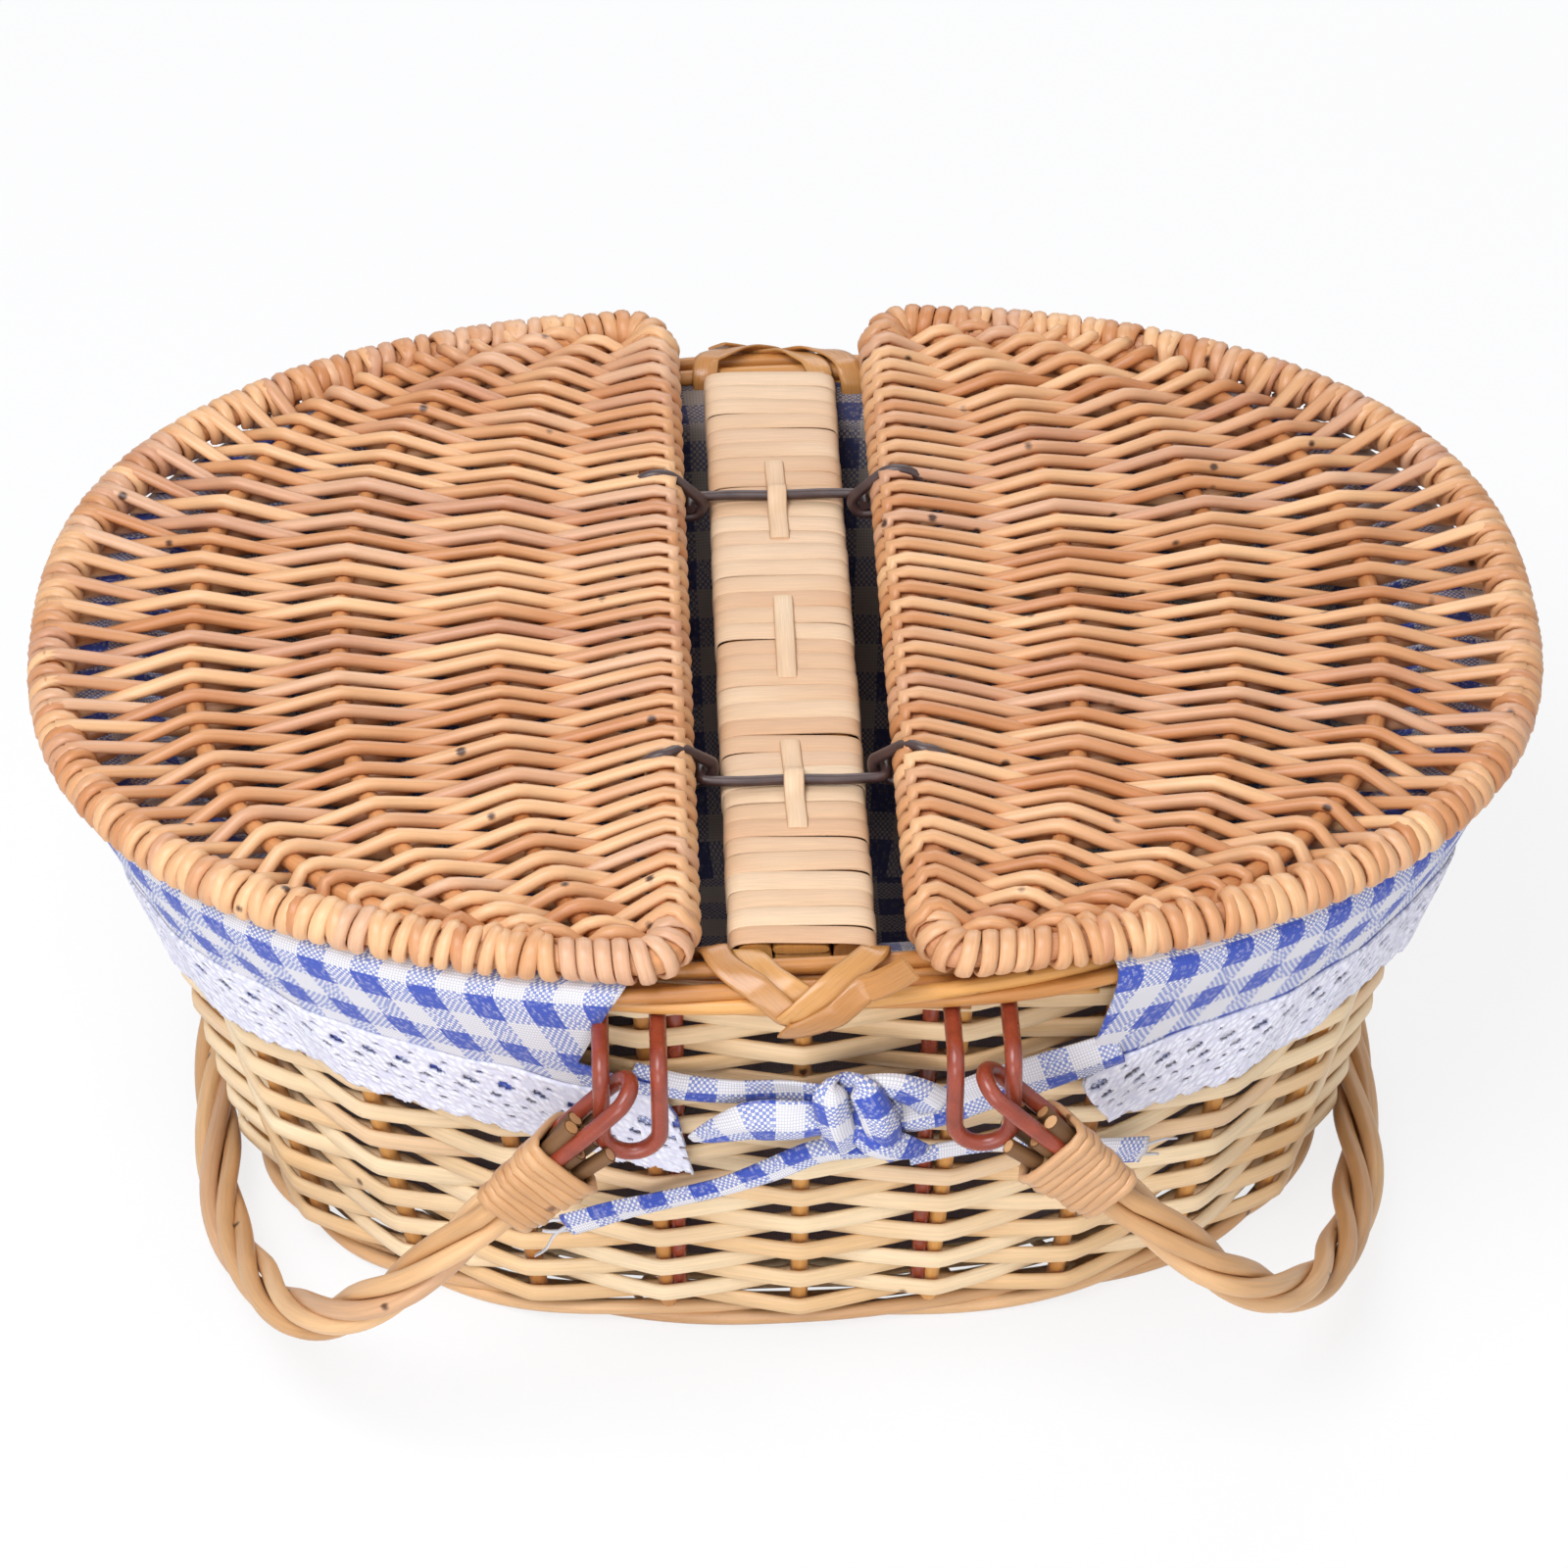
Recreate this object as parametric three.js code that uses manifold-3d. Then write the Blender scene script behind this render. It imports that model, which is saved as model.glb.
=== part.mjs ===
// Oval willow picnic basket: a woven tub with a fixed centre bar, two woven flap lids hung on wire
// hinges, a cloth liner with lace cuffs and ties, and two drop handles linked to the rim by wire rings.
// Millimetres, +Z up. The origin is the middle of the base on the surface the basket stands on.
// +X runs along the longer side, and -Y is the front.
import * as THREE from "three";
import { mergeVertices } from "three/addons/utils/BufferGeometryUtils.js";
import ManifoldModule from "manifold-3d";

// Driving dimensions
const GAP = 0.3; // clearance kept between pieces that touch on the real basket
const OVAL_POWER = 2.4; // squareness of every oval: 2 is an ellipse
const OVAL_STEPS = 36; // straight steps round a full oval

const BASE_WIDTH = 306; // outside of the tub where it stands
const BASE_DEPTH = 208;
const BASE_THICKNESS = 6;
const HOOP_DIAMETER = 9; // foot hoop round the base
const MOUTH_WIDTH = 364; // outside of the weave at the top of the wall
const MOUTH_DEPTH = 266;
const WALL_TOP = 146.7;
const WEAVE_THICKNESS = 4; // outer half of the weave, in front of the stakes
const STAKE_COUNT = 24;
const STAKE_DIAMETER = 5;

const TOP_ROD = 8; // rim border, rod diameters
const BORDER_ROD = 5.5;

const CLOTH = 1.4; // thickness of the padded cloth solids
const CUFF_BOTTOM = 116; // lower edge of the folded-over cuff
const CUFF_FRONT_X = 58; // each cuff stops this far from the middle
const LACE_TOP = 124;
const LACE_BOTTOM = 98;
const TIE_HEIGHT = 9;
const TIE_LEVEL = 119;
const KNOT_X = 12; // the knot sits a little right of the middle
const KNOT_WIDTH = 28;
const KNOT_DEPTH = 13;
const KNOT_HEIGHT = 16;
const LONG_TAIL = 50; // how far each tail reaches sideways from the knot
const SHORT_TAIL = 40;
const TAIL_WIDTH = 8;
const TAIL_OUT = 5; // the tails hang this far in front of the weave

const BAR_WIDTH = 36;
const BAR_THICKNESS = 12;
const BAR_TURNS = 18; // turns of the wrapping skein
const SKEIN = 1.2; // thickness of split skein
const STRIP_WIDTH = 5.4;
const STRIP_LENGTH = 34;
const STRAP_WIDTH = 8; // lashing skein at the ends of the bar

const LID_WIDTH = 400; // outline of both lids together
const LID_DEPTH = 290;
const LID_ROD = 8; // frame rods of each lid
const LID_HEM = 11; // frame rod with the weavers wrapped round it
const LID_PANEL = 9.2; // thickness of the woven panel
const LID_ROWS = 30; // ridges of the lid weave, each drawn for two or three weavers
const LID_WAVE = 1.4; // a row rises this much over a rib and sinks as much under the next
const SPINE_X = 33; // the straight inner frame rod of each lid
const RIB_DIAMETER = 5;
const RIB_PLACES = [0.27, 0.53, 0.77]; // from the spine to the outer edge

const HINGE_Y = 58; // each lid turns on two wires, this far from the middle
const HINGE_X = 24; // the lids' turning line
const HINGE_WIRE = 3;
const HINGE_BEND = 2; // corner of the wire beside the bar
const HINGE_TAIL = 4; // the wire runs on past the middle of each lid tie

const RING_WIRE = 3.8; // coated wire of the loops and rings
const LOOP_X = 44; // middle of each hanging loop
const LOOP_RADIUS = 7.2;
const LOOP_DROP = 8; // the loops' round ends lie this far under the turning line
const LOOP_PLANE = 153.5; // the loops hang this far in front of and behind the middle
const PIVOT_Z = 129; // height of the handles' turning line
const HANDLE_REACH = 164; // from the turning line to the middle of the crown
const HANDLE_LEG = 75; // straight part of the legs
const HANDLE_ROD = 5.4; // each of three twisted rods
const HANDLE_LAY = 3.6; // rods lie this far from the middle of the bundle
const HANDLE_TURNS = 4; // full turns of twist from end to end
const BINDING_START = 17; // from the turning line
const BINDING_TURNS = 5;
const BINDING_PITCH = 5;
const BINDING_RADIUS = 9.7;
const RING_HALF_WIDTH = 5.2;
const RING_BIGHT = 7.7; // the inside of each ring reaches this far back past the turning line

// Heights and places that follow from them
const RIM_TOP = WALL_TOP + GAP + TOP_ROD;
const BORDER_UPPER_Z = RIM_TOP - BORDER_ROD / 2;
const BORDER_LOWER_Z = BORDER_UPPER_Z - BORDER_ROD - GAP;
const BORDER_OUT = GAP + BORDER_ROD; // outside of the border, measured from the weave
const BAR_TOP = RIM_TOP + 2.3;
const BAR_BOTTOM = BAR_TOP - BAR_THICKNESS;
const INNER_ROD_Z = BAR_BOTTOM - GAP - BORDER_ROD / 2;
const INNER_ROD_OUT = -(WEAVE_THICKNESS + STAKE_DIAMETER + 8 * GAP + BORDER_ROD / 2);
const LINER_OUT = INNER_ROD_OUT - BORDER_ROD / 2 - 3 * GAP;
const LID_LEVEL = RIM_TOP + GAP + CLOTH + 0.8 + LID_HEM / 2;
const HINGE_Z = BAR_TOP + GAP + HINGE_WIRE / 2;
const SHOULDER_Z = BORDER_LOWER_Z - BORDER_ROD / 2 - GAP - RING_WIRE / 2;
const BUNDLE_RADIUS = HANDLE_LAY + HANDLE_ROD / 2;
const BUNDLE_DROP = 2.9; // the rods lie this far under the plane of their rings
const PIVOT_X = LOOP_X + LOOP_RADIUS - 0.5;

// Each handle hangs down until the middle of its crown meets the wall or the ground
const wallLean = Math.atan((MOUTH_WIDTH - BASE_WIDTH) / 2 / WALL_TOP);
const crownReach = Math.hypot(HANDLE_REACH, BUNDLE_DROP);
const wallAcross = (BASE_WIDTH / 2 - PIVOT_X) * Math.cos(wallLean) + PIVOT_Z * Math.sin(wallLean);
const tiltToWall = wallLean + Math.acos((wallAcross + BUNDLE_RADIUS + GAP) / crownReach);
const tiltToGround = Math.asin(Math.min(1, (PIVOT_Z - BUNDLE_RADIUS - GAP) / crownReach));
const HANDLE_TILT = Math.min(tiltToWall, tiltToGround) - Math.atan2(BUNDLE_DROP, HANDLE_REACH);

const WILLOW = new THREE.MeshStandardMaterial({ color: 0xe3c78f, roughness: 0.6, name: "pale willow" });
const HONEY = new THREE.MeshStandardMaterial({ color: 0xcf965c, roughness: 0.5, name: "honey willow" });
const AMBER = new THREE.MeshStandardMaterial({ color: 0xb98048, roughness: 0.5, name: "amber willow" });
const SPLIT = new THREE.MeshStandardMaterial({ color: 0xe6cb98, roughness: 0.6, name: "split skein" });
const WIRE_DARK = new THREE.MeshStandardMaterial({ color: 0x4a3330, roughness: 0.45, name: "dark wire" });
const WIRE_RED = new THREE.MeshStandardMaterial({ color: 0x93503f, roughness: 0.45, name: "red wire" });
const GINGHAM = new THREE.MeshStandardMaterial({ color: 0x8f9fd6, roughness: 0.9, name: "gingham cotton" });
const LACE = new THREE.MeshStandardMaterial({ color: 0xf0eef8, roughness: 0.9, name: "cotton lace" });

const kernel = await ManifoldModule();
kernel.setup();

// Closed solids from rings of points. An open loft is capped at both ends, a looped one closes on itself.
function loft(rings, looped = false) {
  const count = rings[0].length;
  const positions = rings.flat().flatMap((p) => [p.x, p.y, p.z]);
  const index = [];
  const spans = looped ? rings.length : rings.length - 1;
  for (let i = 0; i < spans; i++) {
    const a = i * count;
    const b = ((i + 1) % rings.length) * count;
    for (let k = 0; k < count; k++) {
      const next = (k + 1) % count;
      index.push(a + k, a + next, b + next, a + k, b + next, b + k);
    }
  }
  if (!looped) {
    const last = (rings.length - 1) * count;
    for (const [p, q, r] of capFaces(rings[0])) index.push(r, q, p);
    for (const [p, q, r] of capFaces(rings[rings.length - 1])) index.push(last + p, last + q, last + r);
  }
  const geometry = new THREE.BufferGeometry();
  geometry.setAttribute("position", new THREE.Float32BufferAttribute(positions, 3));
  geometry.setIndex(signedVolume(positions, index) < 0 ? index.reverse() : index);
  geometry.computeVertexNormals();
  return geometry;
}

function capFaces(ring) {
  const normal = new THREE.Vector3();
  ring.forEach((p, i) => {
    const q = ring[(i + 1) % ring.length];
    normal.add(new THREE.Vector3().crossVectors(p, q));
  });
  normal.normalize();
  const helper = Math.abs(normal.z) < 0.9 ? new THREE.Vector3(0, 0, 1) : new THREE.Vector3(1, 0, 0);
  const across = new THREE.Vector3().crossVectors(helper, normal).normalize();
  const along = new THREE.Vector3().crossVectors(normal, across);
  const flat = ring.map((p) => new THREE.Vector2(p.dot(across), p.dot(along)));
  return THREE.ShapeUtils.triangulateShape(flat, []);
}

function signedVolume(positions, index) {
  const at = (i) => new THREE.Vector3().fromArray(positions, 3 * i);
  let sum = 0;
  for (let i = 0; i < index.length; i += 3) {
    sum += at(index[i]).dot(at(index[i + 1]).cross(at(index[i + 2])));
  }
  return sum;
}

function toSolid(geometry) {
  const bare = new THREE.BufferGeometry();
  bare.setAttribute("position", geometry.getAttribute("position").clone());
  if (geometry.index) bare.setIndex(geometry.index.clone());
  const welded = mergeVertices(bare, 1e-3);
  const mesh = new kernel.Mesh({
    numProp: 3,
    vertProperties: new Float32Array(welded.getAttribute("position").array),
    triVerts: new Uint32Array(welded.index.array),
  });
  mesh.merge();
  return new kernel.Manifold(mesh);
}

function toGeometry(solid) {
  const mesh = solid.getMesh();
  const geometry = new THREE.BufferGeometry();
  geometry.setAttribute("position", new THREE.Float32BufferAttribute(mesh.vertProperties, 3));
  geometry.setIndex(new THREE.Uint32BufferAttribute(mesh.triVerts, 1));
  geometry.computeVertexNormals();
  return geometry;
}

function joined(...geometries) {
  return toGeometry(kernel.Manifold.union(geometries.map(toSolid)));
}

function cut(geometry, ...tools) {
  return toGeometry(toSolid(geometry).subtract(kernel.Manifold.union(tools.map(toSolid))));
}

function polygon(radius, sides, turn = 0) {
  return Array.from({ length: sides }, (_, i) => {
    const a = turn + (2 * Math.PI * i) / sides;
    return new THREE.Vector2(radius * Math.cos(a), radius * Math.sin(a));
  });
}

// A round rod along an open curve
function rodAlong(curve, radius, steps, sides = 6) {
  return new THREE.ExtrudeGeometry(new THREE.Shape(polygon(radius, sides)), {
    steps,
    extrudePath: curve,
    bevelEnabled: false,
  });
}

function smooth(points) {
  return new THREE.CatmullRomCurve3(points, false, "centripetal");
}

// A straight round rod from one point to another
function straightRod(from, to, radius, sides = 6) {
  return rodAlong(new THREE.LineCurve3(from, to), radius, 1, sides);
}

// A point on the tub: the angle goes round the oval from +X, z is the height and out is measured
// outwards from the outside of the weave at that height.
function onTub(angle, z, out, level = z) {
  const share = level / WALL_TOP;
  const halfX = THREE.MathUtils.lerp(BASE_WIDTH, MOUTH_WIDTH, share) / 2 + out;
  const halfY = THREE.MathUtils.lerp(BASE_DEPTH, MOUTH_DEPTH, share) / 2 + out;
  const point = ovalPoint(halfX, halfY, angle);
  return new THREE.Vector3(point.x, point.y, z);
}

function ovalPoint(halfX, halfY, angle) {
  const c = Math.cos(angle);
  const s = Math.sin(angle);
  const power = 2 / OVAL_POWER;
  return new THREE.Vector2(
    halfX * Math.sign(c) * Math.abs(c) ** power,
    halfY * Math.sign(s) * Math.abs(s) ** power,
  );
}

// The angle at which the tub's oval reaches a given x on its front half
function frontAngle(x, z) {
  const halfX = THREE.MathUtils.lerp(BASE_WIDTH, MOUTH_WIDTH, z / WALL_TOP) / 2;
  return -Math.acos(Math.sign(x) * (Math.abs(x) / halfX) ** (OVAL_POWER / 2));
}

function ovalAngles(steps = OVAL_STEPS) {
  return Array.from({ length: steps }, (_, i) => (2 * Math.PI * (i + 0.5)) / steps);
}

// Angles that part the tub's girth at one height into equal lengths, from the middle of the front
function girthAngles(count, z) {
  const dense = span(-Math.PI / 2, (3 * Math.PI) / 2, 20 * count);
  const points = dense.map((a) => onTub(a, z, 0));
  const run = [0];
  for (let i = 1; i < points.length; i++) run.push(run[i - 1] + points[i].distanceTo(points[i - 1]));
  return Array.from({ length: count }, (_, i) => {
    const at = (run[run.length - 1] * i) / count;
    const next = Math.max(1, run.findIndex((length) => length >= at));
    const share = (at - run[next - 1]) / (run[next] - run[next - 1]);
    return THREE.MathUtils.lerp(dense[next - 1], dense[next], share);
  });
}

// Angles from one to another that keep to the steps of the full ovals between them
function ovalStations(from, to) {
  const step = (2 * Math.PI) / OVAL_STEPS;
  const inner = [];
  for (let i = Math.ceil(from / step - 0.3); (i + 0.5) * step < to - 0.2 * step; i++) {
    inner.push((i + 0.5) * step);
  }
  return [from, ...inner, to];
}

function span(from, to, steps) {
  return Array.from({ length: steps + 1 }, (_, i) => THREE.MathUtils.lerp(from, to, i / steps));
}

// A section of [out, z] pairs carried round the tub, closed or between two angles
function roundTub(section, angles, looped) {
  return loft(angles.map((a) => section.map(([out, z]) => onTub(a, z, out))), looped);
}

// A round rod carried round the tub at one height
function hoop(out, z, diameter, sides = 6) {
  const section = polygon(diameter / 2, sides, Math.PI / sides);
  return loft(ovalAngles().map((a) => section.map((p) => onTub(a, z + p.y, out + p.x, z))), true);
}

const basket = new THREE.Group();

function piece(name, geometry, material, parent = basket) {
  const mesh = new THREE.Mesh(geometry, material);
  mesh.name = name;
  parent.add(mesh);
  return mesh;
}

// Base: a woven oval inside the foot hoop
const baseInset = HOOP_DIAMETER + GAP;
const baseShape = new THREE.Shape(ovalAngles().map((a) => {
  return ovalPoint(BASE_WIDTH / 2 - baseInset, BASE_DEPTH / 2 - baseInset, a);
}));
const basePlate = new THREE.ExtrudeGeometry(baseShape, { depth: BASE_THICKNESS, bevelEnabled: false });
piece("base_weave", basePlate, WILLOW);

const hoopRadius = HOOP_DIAMETER / 2;
const footFlat = 0.4;
const hoopSection = polygon(hoopRadius, 6, Math.PI / 6).map((p) => {
  return [p.x - hoopRadius, Math.max(p.y + hoopRadius - footFlat, 0)];
});
piece("base_hoop", loft(ovalAngles().map((a) => {
  return hoopSection.map(([out, z]) => onTub(a, z, out, 0));
}), true), AMBER);
const HOOP_TOP = HOOP_DIAMETER - footFlat;

// Wire loops that carry the handles: both ends of each pass through the wall under the border
function loopCurve(sideX, sideY) {
  const middle = sideX * LOOP_X;
  const plane = sideY * LOOP_PLANE;
  const loopZ = PIVOT_Z - LOOP_DROP;
  const bend = 5;
  const weaveBack = onTub(frontAngle(LOOP_X, SHOULDER_Z), SHOULDER_Z, -WEAVE_THICKNESS);
  const inside = sideY * (Math.abs(weaveBack.y) + 0.4);
  const points = [];
  const leg = (x, order) => {
    const run = [
      new THREE.Vector3(x, inside, SHOULDER_Z),
      new THREE.Vector3(x, plane - sideY * 2 * bend, SHOULDER_Z),
      new THREE.Vector3(x, plane - sideY * bend, SHOULDER_Z),
      new THREE.Vector3(x, plane - sideY * 0.3 * bend, SHOULDER_Z - 0.3 * bend),
      new THREE.Vector3(x, plane, SHOULDER_Z - bend),
    ];
    points.push(...(order > 0 ? run : run.reverse()));
  };
  leg(middle - LOOP_RADIUS, 1);
  for (const a of span(Math.PI, 2 * Math.PI, 6)) {
    const across = LOOP_RADIUS * Math.cos(a);
    points.push(new THREE.Vector3(middle + across, plane, loopZ + LOOP_RADIUS * Math.sin(a)));
  }
  leg(middle + LOOP_RADIUS, -1);
  return smooth(points);
}

const corners = [["front_left", -1, -1], ["front_right", 1, -1], ["rear_left", -1, 1], ["rear_right", 1, 1]];
const loopHoles = [];
for (const [place, sideX, sideY] of corners) {
  piece(`loop_${place}`, rodAlong(loopCurve(sideX, sideY), RING_WIRE / 2, 22), WIRE_RED);
  for (const leg of [-1, 1]) {
    const x = sideX * LOOP_X + leg * LOOP_RADIUS;
    const from = new THREE.Vector3(x, sideY * (MOUTH_DEPTH / 2 - 30), SHOULDER_Z);
    const to = new THREE.Vector3(x, sideY * LOOP_PLANE, SHOULDER_Z);
    loopHoles.push(straightRod(from, to, RING_WIRE / 2 + 2 * GAP, 8));
  }
}

// Wall: the weave as one sheet of its own thickness, and the stakes that it is woven on
const wallFoot = HOOP_TOP + GAP;
const wallSection = [[0, wallFoot], [0, WALL_TOP],
  [-WEAVE_THICKNESS, WALL_TOP], [-WEAVE_THICKNESS, wallFoot]];
piece("wall_weave", cut(roundTub(wallSection, ovalAngles(), true), ...loopHoles), WILLOW);

const stakeOut = -(WEAVE_THICKNESS + 4 * GAP + STAKE_DIAMETER / 2);
const stakeFoot = wallFoot + STAKE_DIAMETER / 2;
const stakes = [hoop(stakeOut, stakeFoot, STAKE_DIAMETER, 4)];
for (const angle of girthAngles(STAKE_COUNT, WALL_TOP / 2)) {
  const foot = onTub(angle, stakeFoot, stakeOut);
  const head = onTub(angle, Math.min(WALL_TOP, BAR_BOTTOM) - 2 * GAP, stakeOut);
  stakes.push(straightRod(foot, head, STAKE_DIAMETER / 2, 4));
}
piece("stake_frame", joined(...stakes), AMBER);

// Rim border: one rod on top of the stakes, two outside and one inside that carries the bar
piece("rim_top_rod", hoop(-TOP_ROD / 2 - 0.5, WALL_TOP + GAP + TOP_ROD / 2, TOP_ROD), HONEY);
piece("rim_outer_upper", hoop(GAP + BORDER_ROD / 2, BORDER_UPPER_Z, BORDER_ROD), HONEY);
piece("rim_outer_lower", hoop(GAP + BORDER_ROD / 2, BORDER_LOWER_Z, BORDER_ROD), HONEY);
piece("rim_inner_rod", hoop(INNER_ROD_OUT, INNER_ROD_Z, BORDER_ROD), HONEY);

// Liner bag with a flat floor
const linerIn = LINER_OUT - CLOTH;
const linerTop = BAR_BOTTOM - 2 * GAP;
const linerFloor = BASE_THICKNESS + GAP;
const linerLevels = [
  [LINER_OUT - 8, linerFloor],
  [LINER_OUT, linerFloor + 8],
  [LINER_OUT, linerTop],
  [linerIn, linerTop],
  [linerIn, linerFloor + 8],
  [linerIn - 7, linerFloor + CLOTH],
];
piece("liner_bag", loft(linerLevels.map(([out, z]) => {
  return ovalAngles().map((a) => onTub(a, z, out));
})), GINGHAM);

// Cuffs: the liner turned over the rim, one on each side of the bar, each with a lace edge
const overRim = RIM_TOP + GAP;
const outerFold = BORDER_OUT + GAP;
const borderFoot = BORDER_LOWER_Z - BORDER_ROD / 2;
const cuffInside = [
  [LINER_OUT, linerTop + GAP],
  [LINER_OUT, overRim - 5],
  [-TOP_ROD - 1, overRim],
  [outerFold - 1.2, overRim],
  [outerFold, overRim - 1.4],
  [outerFold, borderFoot],
  [1.2, CUFF_BOTTOM],
];
const cuffOutside = [
  [linerIn, linerTop + GAP],
  [linerIn, overRim - 5 + 0.6],
  [-TOP_ROD - 1.5, overRim + CLOTH],
  [outerFold - 0.4, overRim + CLOTH],
  [outerFold + CLOTH, overRim - 1],
  [outerFold + CLOTH, borderFoot],
  [1.2 + CLOTH, CUFF_BOTTOM],
];
const cuffSection = [...cuffOutside, ...cuffInside.slice().reverse()];
const cuffSlope = (outerFold - 1.2) / (borderFoot - CUFF_BOTTOM);
const laceTopOut = 1.2 + CLOTH + GAP + cuffSlope * (LACE_TOP - CUFF_BOTTOM);
const laceSection = [
  [laceTopOut, LACE_TOP],
  [1.2 + CLOTH + GAP, CUFF_BOTTOM],
  [0.9, LACE_BOTTOM],
  [1.9, LACE_BOTTOM],
  [2.2 + CLOTH + GAP, CUFF_BOTTOM],
  [laceTopOut + 1, LACE_TOP],
];
const cuffAngle = -frontAngle(CUFF_FRONT_X, RIM_TOP);
for (const [side, from] of [["right", -cuffAngle], ["left", Math.PI - cuffAngle]]) {
  const angles = ovalStations(from, from + 2 * cuffAngle);
  piece(`cuff_${side}`, roundTub(cuffSection, angles, false), GINGHAM);
  piece(`lace_${side}`, roundTub(laceSection, angles, false), LACE);
}

// Ties: a cloth band between the cuffs with a knot and two hanging tails, front and rear
function ribbon(points, width, thickness) {
  const curve = smooth(points.map(([x, out, z]) => onTub(frontAngle(x, z), z, out)));
  const rings = span(0, 1, 4).map((t) => {
    const p = curve.getPoint(t);
    const along = curve.getTangent(t);
    const outward = new THREE.Vector3(0, -1, 0);
    const across = new THREE.Vector3().crossVectors(along, outward).normalize();
    const half = width / 2;
    return [[-half, 0], [half, 0], [half, thickness], [-half, thickness]].map(([a, o]) => {
      return p.clone().addScaledVector(across, a).addScaledVector(outward, o);
    });
  });
  return loft(rings);
}

function tieGeometry() {
  const reach = CUFF_FRONT_X - 6;
  const half = TIE_HEIGHT / 2;
  const bandSection = [[GAP, TIE_LEVEL - half], [GAP, TIE_LEVEL + half],
    [GAP + CLOTH, TIE_LEVEL + half], [GAP + CLOTH, TIE_LEVEL - half]];
  const bandAngles = ovalStations(frontAngle(-reach, TIE_LEVEL), frontAngle(reach, TIE_LEVEL));
  const knot = new THREE.SphereGeometry(1, 8, 5);
  const centre = onTub(frontAngle(KNOT_X, TIE_LEVEL), TIE_LEVEL, KNOT_DEPTH / 2 + 2 * GAP + 0.2);
  knot.scale(KNOT_WIDTH / 2, KNOT_DEPTH / 2, KNOT_HEIGHT / 2);
  knot.translate(centre.x, centre.y, centre.z);
  const tail = (reach) => {
    const drop = Math.abs(reach) / 2;
    return ribbon([
      [KNOT_X + 0.05 * reach, TAIL_OUT, TIE_LEVEL],
      [KNOT_X + 0.48 * reach, TAIL_OUT, TIE_LEVEL - 0.54 * drop],
      [KNOT_X + reach, TAIL_OUT, TIE_LEVEL - drop],
    ], TAIL_WIDTH, CLOTH);
  };
  const longTail = tail(-LONG_TAIL);
  const shortTail = tail(SHORT_TAIL);
  return joined(roundTub(bandSection, bandAngles, false), knot, longTail, shortTail);
}
piece("tie_front", tieGeometry(), GINGHAM);
piece("tie_rear", tieGeometry(), GINGHAM).rotation.z = Math.PI;

// Centre bar: a slat between two rods, wrapped in skein and lashed to the rim at both ends
const rimInside = MOUTH_DEPTH / 2 - TOP_ROD - 0.5;
const barHalf = rimInside * (1 - (BAR_WIDTH / MOUTH_WIDTH) ** OVAL_POWER) ** (1 / OVAL_POWER) + 0.2;
const barMiddleZ = (BAR_TOP + BAR_BOTTOM) / 2;
const barRod = BAR_THICKNESS - 2 * SKEIN - 2 * GAP;
const barRodX = BAR_WIDTH / 2 - SKEIN - GAP - barRod / 2;
const slatWidth = 2 * (barRodX - barRod / 2 - GAP);
const barSlat = new THREE.BoxGeometry(slatWidth, 2 * barHalf - 2, barRod - 0.6);
piece("bar_slat", barSlat.translate(0, 0, barMiddleZ), HONEY);
for (const [side, sign] of [["left", -1], ["right", 1]]) {
  const from = new THREE.Vector3(sign * barRodX, -barHalf + 0.5, barMiddleZ);
  const to = new THREE.Vector3(sign * barRodX, barHalf - 0.5, barMiddleZ);
  piece(`bar_rod_${side}`, straightRod(from, to, barRod / 2, 8), AMBER);
}

function barOutline(y, inset) {
  const halfX = BAR_WIDTH / 2 - inset;
  const halfZ = BAR_THICKNESS / 2 - inset;
  const round = 0.55 * halfZ;
  const outline = [[halfX, halfZ - round], [halfX - round, halfZ], [round - halfX, halfZ],
    [-halfX, halfZ - round], [-halfX, round - halfZ], [round - halfX, -halfZ], [halfX - round, -halfZ],
    [halfX, round - halfZ]];
  return outline.map(([x, z]) => new THREE.Vector3(x, y, barMiddleZ + z));
}

const wrapRings = [];
for (let turn = 0; turn < BAR_TURNS; turn++) {
  wrapRings.push(barOutline(THREE.MathUtils.lerp(-barHalf, barHalf, turn / BAR_TURNS), 0.45));
  wrapRings.push(barOutline(THREE.MathUtils.lerp(-barHalf, barHalf, (turn + 0.5) / BAR_TURNS), 0));
}
wrapRings.push(barOutline(barHalf, 0.45), barOutline(barHalf, SKEIN), barOutline(-barHalf, SKEIN));
piece("bar_wrap", loft(wrapRings, true), SPLIT);

// Keeper strips lie along the bar; the end ones hold down the hinge wires
function keeperStrip(overWire) {
  const half = STRIP_LENGTH / 2;
  const low = BAR_TOP + GAP;
  const high = overWire ? HINGE_Z + HINGE_WIRE / 2 + GAP : low;
  const rise = HINGE_WIRE / 2 + 2;
  const under = [[-half, low], [-rise - 3, low], [-rise, high], [rise, high], [rise + 3, low], [half, low]];
  const over = under.map(([y, z]) => [y, z + SKEIN]).reverse();
  const rings = [-STRIP_WIDTH / 2, STRIP_WIDTH / 2].map((x) => {
    return [...under, ...over].map(([y, z]) => new THREE.Vector3(x, y, z));
  });
  return loft(rings);
}
const wireY = HINGE_Y + 1.5 * HINGE_WIRE;
piece("bar_strip_front", keeperStrip(true), SPLIT).position.y = -wireY;
piece("bar_strip_middle", keeperStrip(false), SPLIT);
piece("bar_strip_rear", keeperStrip(true), SPLIT).position.y = wireY;

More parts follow.
